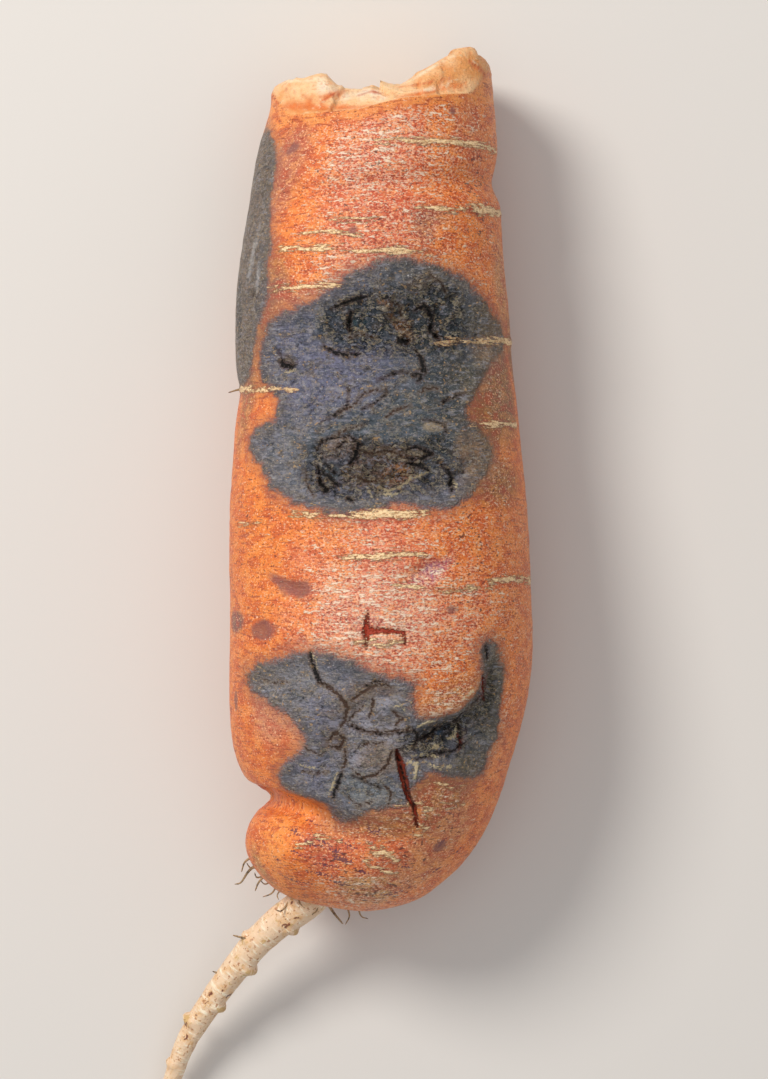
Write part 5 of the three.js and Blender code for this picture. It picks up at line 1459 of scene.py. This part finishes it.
def paint_body(mesh, sizes, colours):
    """Sinks the rot and the hollows into the body, and keeps what its material reads at each vertex"""
    places = read_vectors(mesh.vertices, "co")
    normals = read_vectors(mesh.vertex_normals, "vector")
    flesh = np.array([value.value for value in mesh.attributes["flesh"].data])
    skin = on_skin(places, sizes)
    wobble = rough_grain(places, WOBBLE_SIZE, 3, seed=1)
    ripple = rough_grain(places, RIPPLE_SIZE, 3, seed=2)
    facing_up = clamped_steps(0.1, 0.7, normals[:, 2])

    rot_inside, rough, sunk = rot_depth(skin, wobble)
    crater, crumbs, ridges = crater_crumbs(skin, places, rot_inside, ripple)
    creases = rot_creases(skin, places, rot_inside) * facing_up
    wrinkles = rough_grain(places * WRINKLE_STRETCH, WRINKLE_SIZE, 3, seed=6)
    height = grown_relief(skin, places) - sunk * facing_up
    for oval, depth in HOLLOWS:
        height -= depth * mound(skin, oval)
    height += sizes.crumble / MM * (crumbs + RIDGE_SHARE * ridges)
    height += WRINKLE_HEIGHT * wrinkles * clamped_steps(0, 3, rot_inside) * facing_up
    height -= CREASE_DEPTH * creases
    for line in (*DRAWN_LINES.values(), *ROT_STROKES):
        height -= line.depth * stroked(skin, line.routes, line.soft, wobble)
    living = (1 - clamped_steps(0.1, 0.9, flesh)) * clamped_steps(*RELIEF_FADE, places[:, 1])
    grown = places + normals * (height * living)[:, None]
    grown[:, 2] = np.maximum(grown[:, 2] - REST_FLAT_DEPTH, 0)
    mesh.vertices.foreach_set("co", grown.astype(np.float32).ravel())

    rim_band = below_rim(places, ripple)
    paint_tones(mesh, skin, places, rim_band, wobble, ripple, colours)
    for name, cut in DRAWN_LINES.items():
        write_attribute(mesh, name, off_strokes(skin, cut.routes))
    off_spots = np.min([(oval_reach(skin, spot) - 1) * min(spot.half) for spot in SPOT_MARKS], axis=0)
    rough = np.max([rough, crater, 0.8 * creases], axis=0)
    wet = rough * clamped_steps(0, 0.6, rough_grain(grown, WET_SIZE, 2, seed=8))
    write_attribute(mesh, "rot_inside", np.clip(rot_inside, -ROT_REACH, ROT_REACH))
    write_attribute(mesh, "bruise", np.clip(off_spots, -SPOT_REACH, SPOT_REACH))
    write_attribute(mesh, "crumble", crumbs + 0.2 * ridges - 0.55 * creases)
    write_attribute(mesh, "rough", rough)
    write_attribute(mesh, "wet", wet)
    write_attribute(mesh, "scurf", scurf_thickness(skin, rim_band))
    write_attribute(mesh, "specks", spread(skin, SPECK_AREAS, 0.5))
    write_attribute(mesh, "wrap", places[:, [0, 2, 1]])


def cut_finer(bm, rows, places, sizes):
    """Cuts the faces of the craters and of the broken face into four"""
    skin = on_skin(places, sizes)
    in_crater = np.min([oval_reach(skin, oval) for oval, _ in CRATERS], axis=0) < FINE_CRATER_REACH
    fine = in_crater & (places[:, 2] > FINE_CRATER_HEIGHT)
    fine |= (rows < BROKEN_FACE_SHARE + FINE_FACE_SHARE) & (places[:, 2] > FINE_FACE_HEIGHT)
    bm.verts.ensure_lookup_table()
    edges = [edge for edge in bm.edges if all(fine[vert.index] for vert in edge.verts)]
    bmesh.ops.subdivide_edges(bm, edges=edges, cuts=1, use_grid_fill=True)


class CARROT_OT_grow_body(bpy.types.Operator):
    """Grows the body of the root, with its broken face and its rot"""

    bl_idname = "carrot.grow_body"
    bl_label = "Grow body"

    def execute(self, context):
        sizes, colours = context.scene.carrot_sizes, context.scene.carrot_colours
        bm = bmesh.new()
        bmesh.ops.create_uvsphere(bm, u_segments=sizes.columns, v_segments=sizes.rows, radius=1)
        rows, turns = sphere_shares(bm, sizes)
        places = body_places(rows, turns, sizes)
        flesh_layer = bm.verts.layers.float.new("flesh")
        none, full = (BROKEN_FACE_SHARE + past_rim for past_rim in FLESH_STARTS)
        on_face = clamped_steps(none, full, rows)
        for vert, place, flesh in zip(bm.verts, places, on_face):
            vert.co = place
            vert[flesh_layer] = flesh
        cut_finer(bm, rows, places, sizes)
        bmesh.ops.recalc_face_normals(bm, faces=bm.faces)
        mesh = bpy.data.meshes.new("carrot_body")
        bm.to_mesh(mesh)
        bm.free()
        paint_body(mesh, sizes, colours)
        finish_piece("carrot_body", mesh, carrot_skin_material(colours))
        return {"FINISHED"}


def knob_height(knobs, share, angle, length):
    """How far the knobs on a thin root stand out at places given by share of its length and angle round it"""
    height = np.zeros(len(share))
    for knob_share, knob_angle, knob_rise, half_length in knobs:
        near = 1 - clamped_steps(0, half_length, np.abs(share - knob_share) * length)
        height += knob_rise * near * clamped_steps(-0.1, 1, np.cos(angle - math.radians(knob_angle)))
    return height


def swept(name, route, radii, sides, rings, knobs=()):
    """A tapered root along a route of x, y and height: a cylinder cut into rings and bent in place"""
    bm = bmesh.new()
    bmesh.ops.create_cone(bm, cap_ends=True, segments=sides, radius1=1, radius2=1, depth=1)
    lengthwise = [edge for edge in bm.edges if abs(edge.verts[0].co.z - edge.verts[1].co.z) > 0.5]
    bmesh.ops.subdivide_edges(bm, edges=lengthwise, cuts=rings)
    curve = smooth_curve(route, steps=40)
    length = np.linalg.norm(np.diff(curve, axis=0), axis=1).sum()
    local = np.array([v.co[:] for v in bm.verts])
    share = local[:, 2] + 0.5
    angle = np.arctan2(local[:, 0], local[:, 1])
    radius = np.interp(share, np.linspace(0, 1, len(radii)), radii)
    radius = radius * np.sqrt(np.clip((TIP_END - share) / TIP_ROUNDING, 0, 1))
    knob = knob_height(knobs, share, angle, length)
    ahead = along(curve, np.minimum(share + DIRECTION_SHARE, 1))
    ahead -= along(curve, np.maximum(share - DIRECTION_SHARE, 0))
    ahead /= np.linalg.norm(ahead, axis=1)[:, None]
    side = np.cross(ahead, (0, 0, 1))
    side /= np.linalg.norm(side, axis=1)[:, None]
    up = np.cross(side, ahead)
    wrap = np.stack([radius * np.sin(angle), radius * np.cos(angle), share * length], axis=-1)
    rough = THIN_ROOT_ROUGHNESS * rough_grain(wrap, THIN_ROOT_GRAIN_SIZE, 3, seed=len(route))
    reach = radius + (radius > THIN_ROOT_BARE_RADIUS) * knob + rough * np.minimum(radius, 1)
    outward = side * (reach * np.sin(angle))[:, None] + up * (reach * np.cos(angle))[:, None]
    for vert, place in zip(bm.verts, along(curve, share) + outward):
        vert.co = place
    bmesh.ops.recalc_face_normals(bm, faces=bm.faces)
    mesh = bpy.data.meshes.new(name)
    bm.to_mesh(mesh)
    bm.free()
    write_attribute(mesh, "wrap", wrap)
    write_attribute(mesh, "knob", np.clip(knob, 0, 1))
    return mesh


def lower(mesh):
    """Keeps a swept piece above the surface that the root rests on"""
    places = read_vectors(mesh.vertices, "co")
    places[:, 2] = np.maximum(places[:, 2], RESTING_CLEARANCE)
    mesh.vertices.foreach_set("co", places.astype(np.float32).ravel())


class CARROT_OT_grow_tap_root(bpy.types.Operator):
    """Grows the thin pale tap root from under the lobe"""

    bl_idname = "carrot.grow_tap_root"
    bl_label = "Grow tap root"

    def execute(self, context):
        radii = [TAIL_SHRINK * diameter / 2 for diameter in TAIL_DIAMETERS]
        mesh = swept("tap_root", TAIL_ROUTE, radii, TAIL_SIDES, TAIL_RINGS, TAIL_KNOBS)
        lower(mesh)
        finish_piece("tap_root", mesh, tap_root_material(context.scene.carrot_colours))
        return {"FINISHED"}


class CARROT_OT_grow_hair_roots(bpy.types.Operator):
    """Grows the dry hair roots on the lobe and the tap root, joined in one piece"""

    bl_idname = "carrot.grow_hair_roots"
    bl_label = "Grow hair roots"

    def execute(self, context):
        joined = bmesh.new()
        for route, thickness in HAIR_ROOTS:
            radii = [thickness / taper for taper in HAIR_TAPER]
            hair = swept("hair_root", route, radii, HAIR_SIDES, HAIR_RINGS)
            joined.from_mesh(hair)
            bpy.data.meshes.remove(hair)
        mesh = bpy.data.meshes.new("hair_roots")
        joined.to_mesh(mesh)
        joined.free()
        finish_piece("hair_roots", mesh, hair_root_material())
        return {"FINISHED"}


def add_softbox(softbox):
    """A round studio light of the given width, turned towards a point"""
    light = bpy.data.lights.new(softbox.name, "AREA")
    light.shape = "DISK"
    light.size = softbox.width
    light.energy = softbox.watts
    light.color = softbox.colour
    lamp = bpy.data.objects.new(softbox.name, light)
    lamp.location = softbox.place
    facing = Vector(softbox.aim) - Vector(softbox.place)
    lamp.rotation_euler = facing.to_track_quat("-Z", "Y").to_euler()
    bpy.context.scene.collection.objects.link(lamp)


def add_floor(width, material):
    """A square plain floor under the root"""
    bm = bmesh.new()
    bmesh.ops.create_grid(bm, x_segments=1, y_segments=1, size=width / 2)
    mesh = bpy.data.meshes.new("floor")
    bm.to_mesh(mesh)
    bm.free()
    mesh.materials.append(material)
    floor = bpy.data.objects.new("floor", mesh)
    bpy.context.scene.collection.objects.link(floor)


def light_room(scene):
    """Even pale light from all round, as in a studio with white walls"""
    world = bpy.data.worlds.new("studio")
    scene.world = world
    world.use_nodes = True
    background = world.node_tree.nodes["Background"]
    fill_sockets(world.node_tree, background, {"Color": ROOM_TINT, "Strength": ROOM_STRENGTH})
    scene.view_settings.view_transform = "Standard"


def add_camera(scene):
    """The photograph's camera: straight above the root, with the picture's top towards the broken end"""
    camera = bpy.data.cameras.new("camera")
    camera.sensor_fit = "VERTICAL"
    camera.sensor_height = SENSOR_HEIGHT
    camera.lens = SENSOR_HEIGHT * (VIEW_HEIGHT - SUBJECT_HEIGHT) / VIEW_FIELD_HEIGHT
    camera.clip_start = 0.01
    viewer = bpy.data.objects.new("camera", camera)
    aim_x, aim_y = (np.array(VIEW_CENTRE) + DRAWING_ZERO[:2]) * MM
    viewer.location = (aim_x, aim_y, VIEW_HEIGHT * MM)
    scene.collection.objects.link(viewer)
    scene.camera = viewer


class CARROT_OT_set_stage(bpy.types.Operator):
    """Sets the plain floor, the soft studio light and the camera straight above the root"""

    bl_idname = "carrot.set_stage"
    bl_label = "Set stage"

    def execute(self, context):
        scene = context.scene
        add_floor(scene.carrot_sizes.floor, floor_material(scene.carrot_colours))
        for light in (WINDOW, SKY):
            add_softbox(light)
        light_room(scene)
        add_camera(scene)
        return {"FINISHED"}


class CARROT_PT_panel(bpy.types.Panel):
    """Lists the pieces of the root, with its sizes and colours"""

    bl_label = "Carrot root"
    bl_space_type = "VIEW_3D"
    bl_region_type = "UI"
    bl_category = "Carrot"

    def draw(self, context):
        for operator in OPERATORS:
            self.layout.operator(operator.bl_idname)
        for group in (context.scene.carrot_sizes, context.scene.carrot_colours):
            for name in group.__annotations__:
                self.layout.prop(group, name)


OPERATORS = (CARROT_OT_grow_body, CARROT_OT_grow_tap_root, CARROT_OT_grow_hair_roots, CARROT_OT_set_stage)
CLASSES = (CarrotSizes, CarrotColours, *OPERATORS, CARROT_PT_panel)


def register():
    """Adds the root's settings, operators and panel to Blender"""
    for item in CLASSES:
        bpy.utils.register_class(item)
    bpy.types.Scene.carrot_sizes = PointerProperty(type=CarrotSizes)
    bpy.types.Scene.carrot_colours = PointerProperty(type=CarrotColours)


def unregister():
    """Takes the root's settings, operators and panel out of Blender"""
    del bpy.types.Scene.carrot_colours
    del bpy.types.Scene.carrot_sizes
    for item in reversed(CLASSES):
        bpy.utils.unregister_class(item)


def main():
    """Builds the root and its stage"""
    register()
    bpy.ops.carrot.grow_body()
    bpy.ops.carrot.grow_tap_root()
    bpy.ops.carrot.grow_hair_roots()
    bpy.ops.carrot.set_stage()


if __name__ == "__main__":
    main()
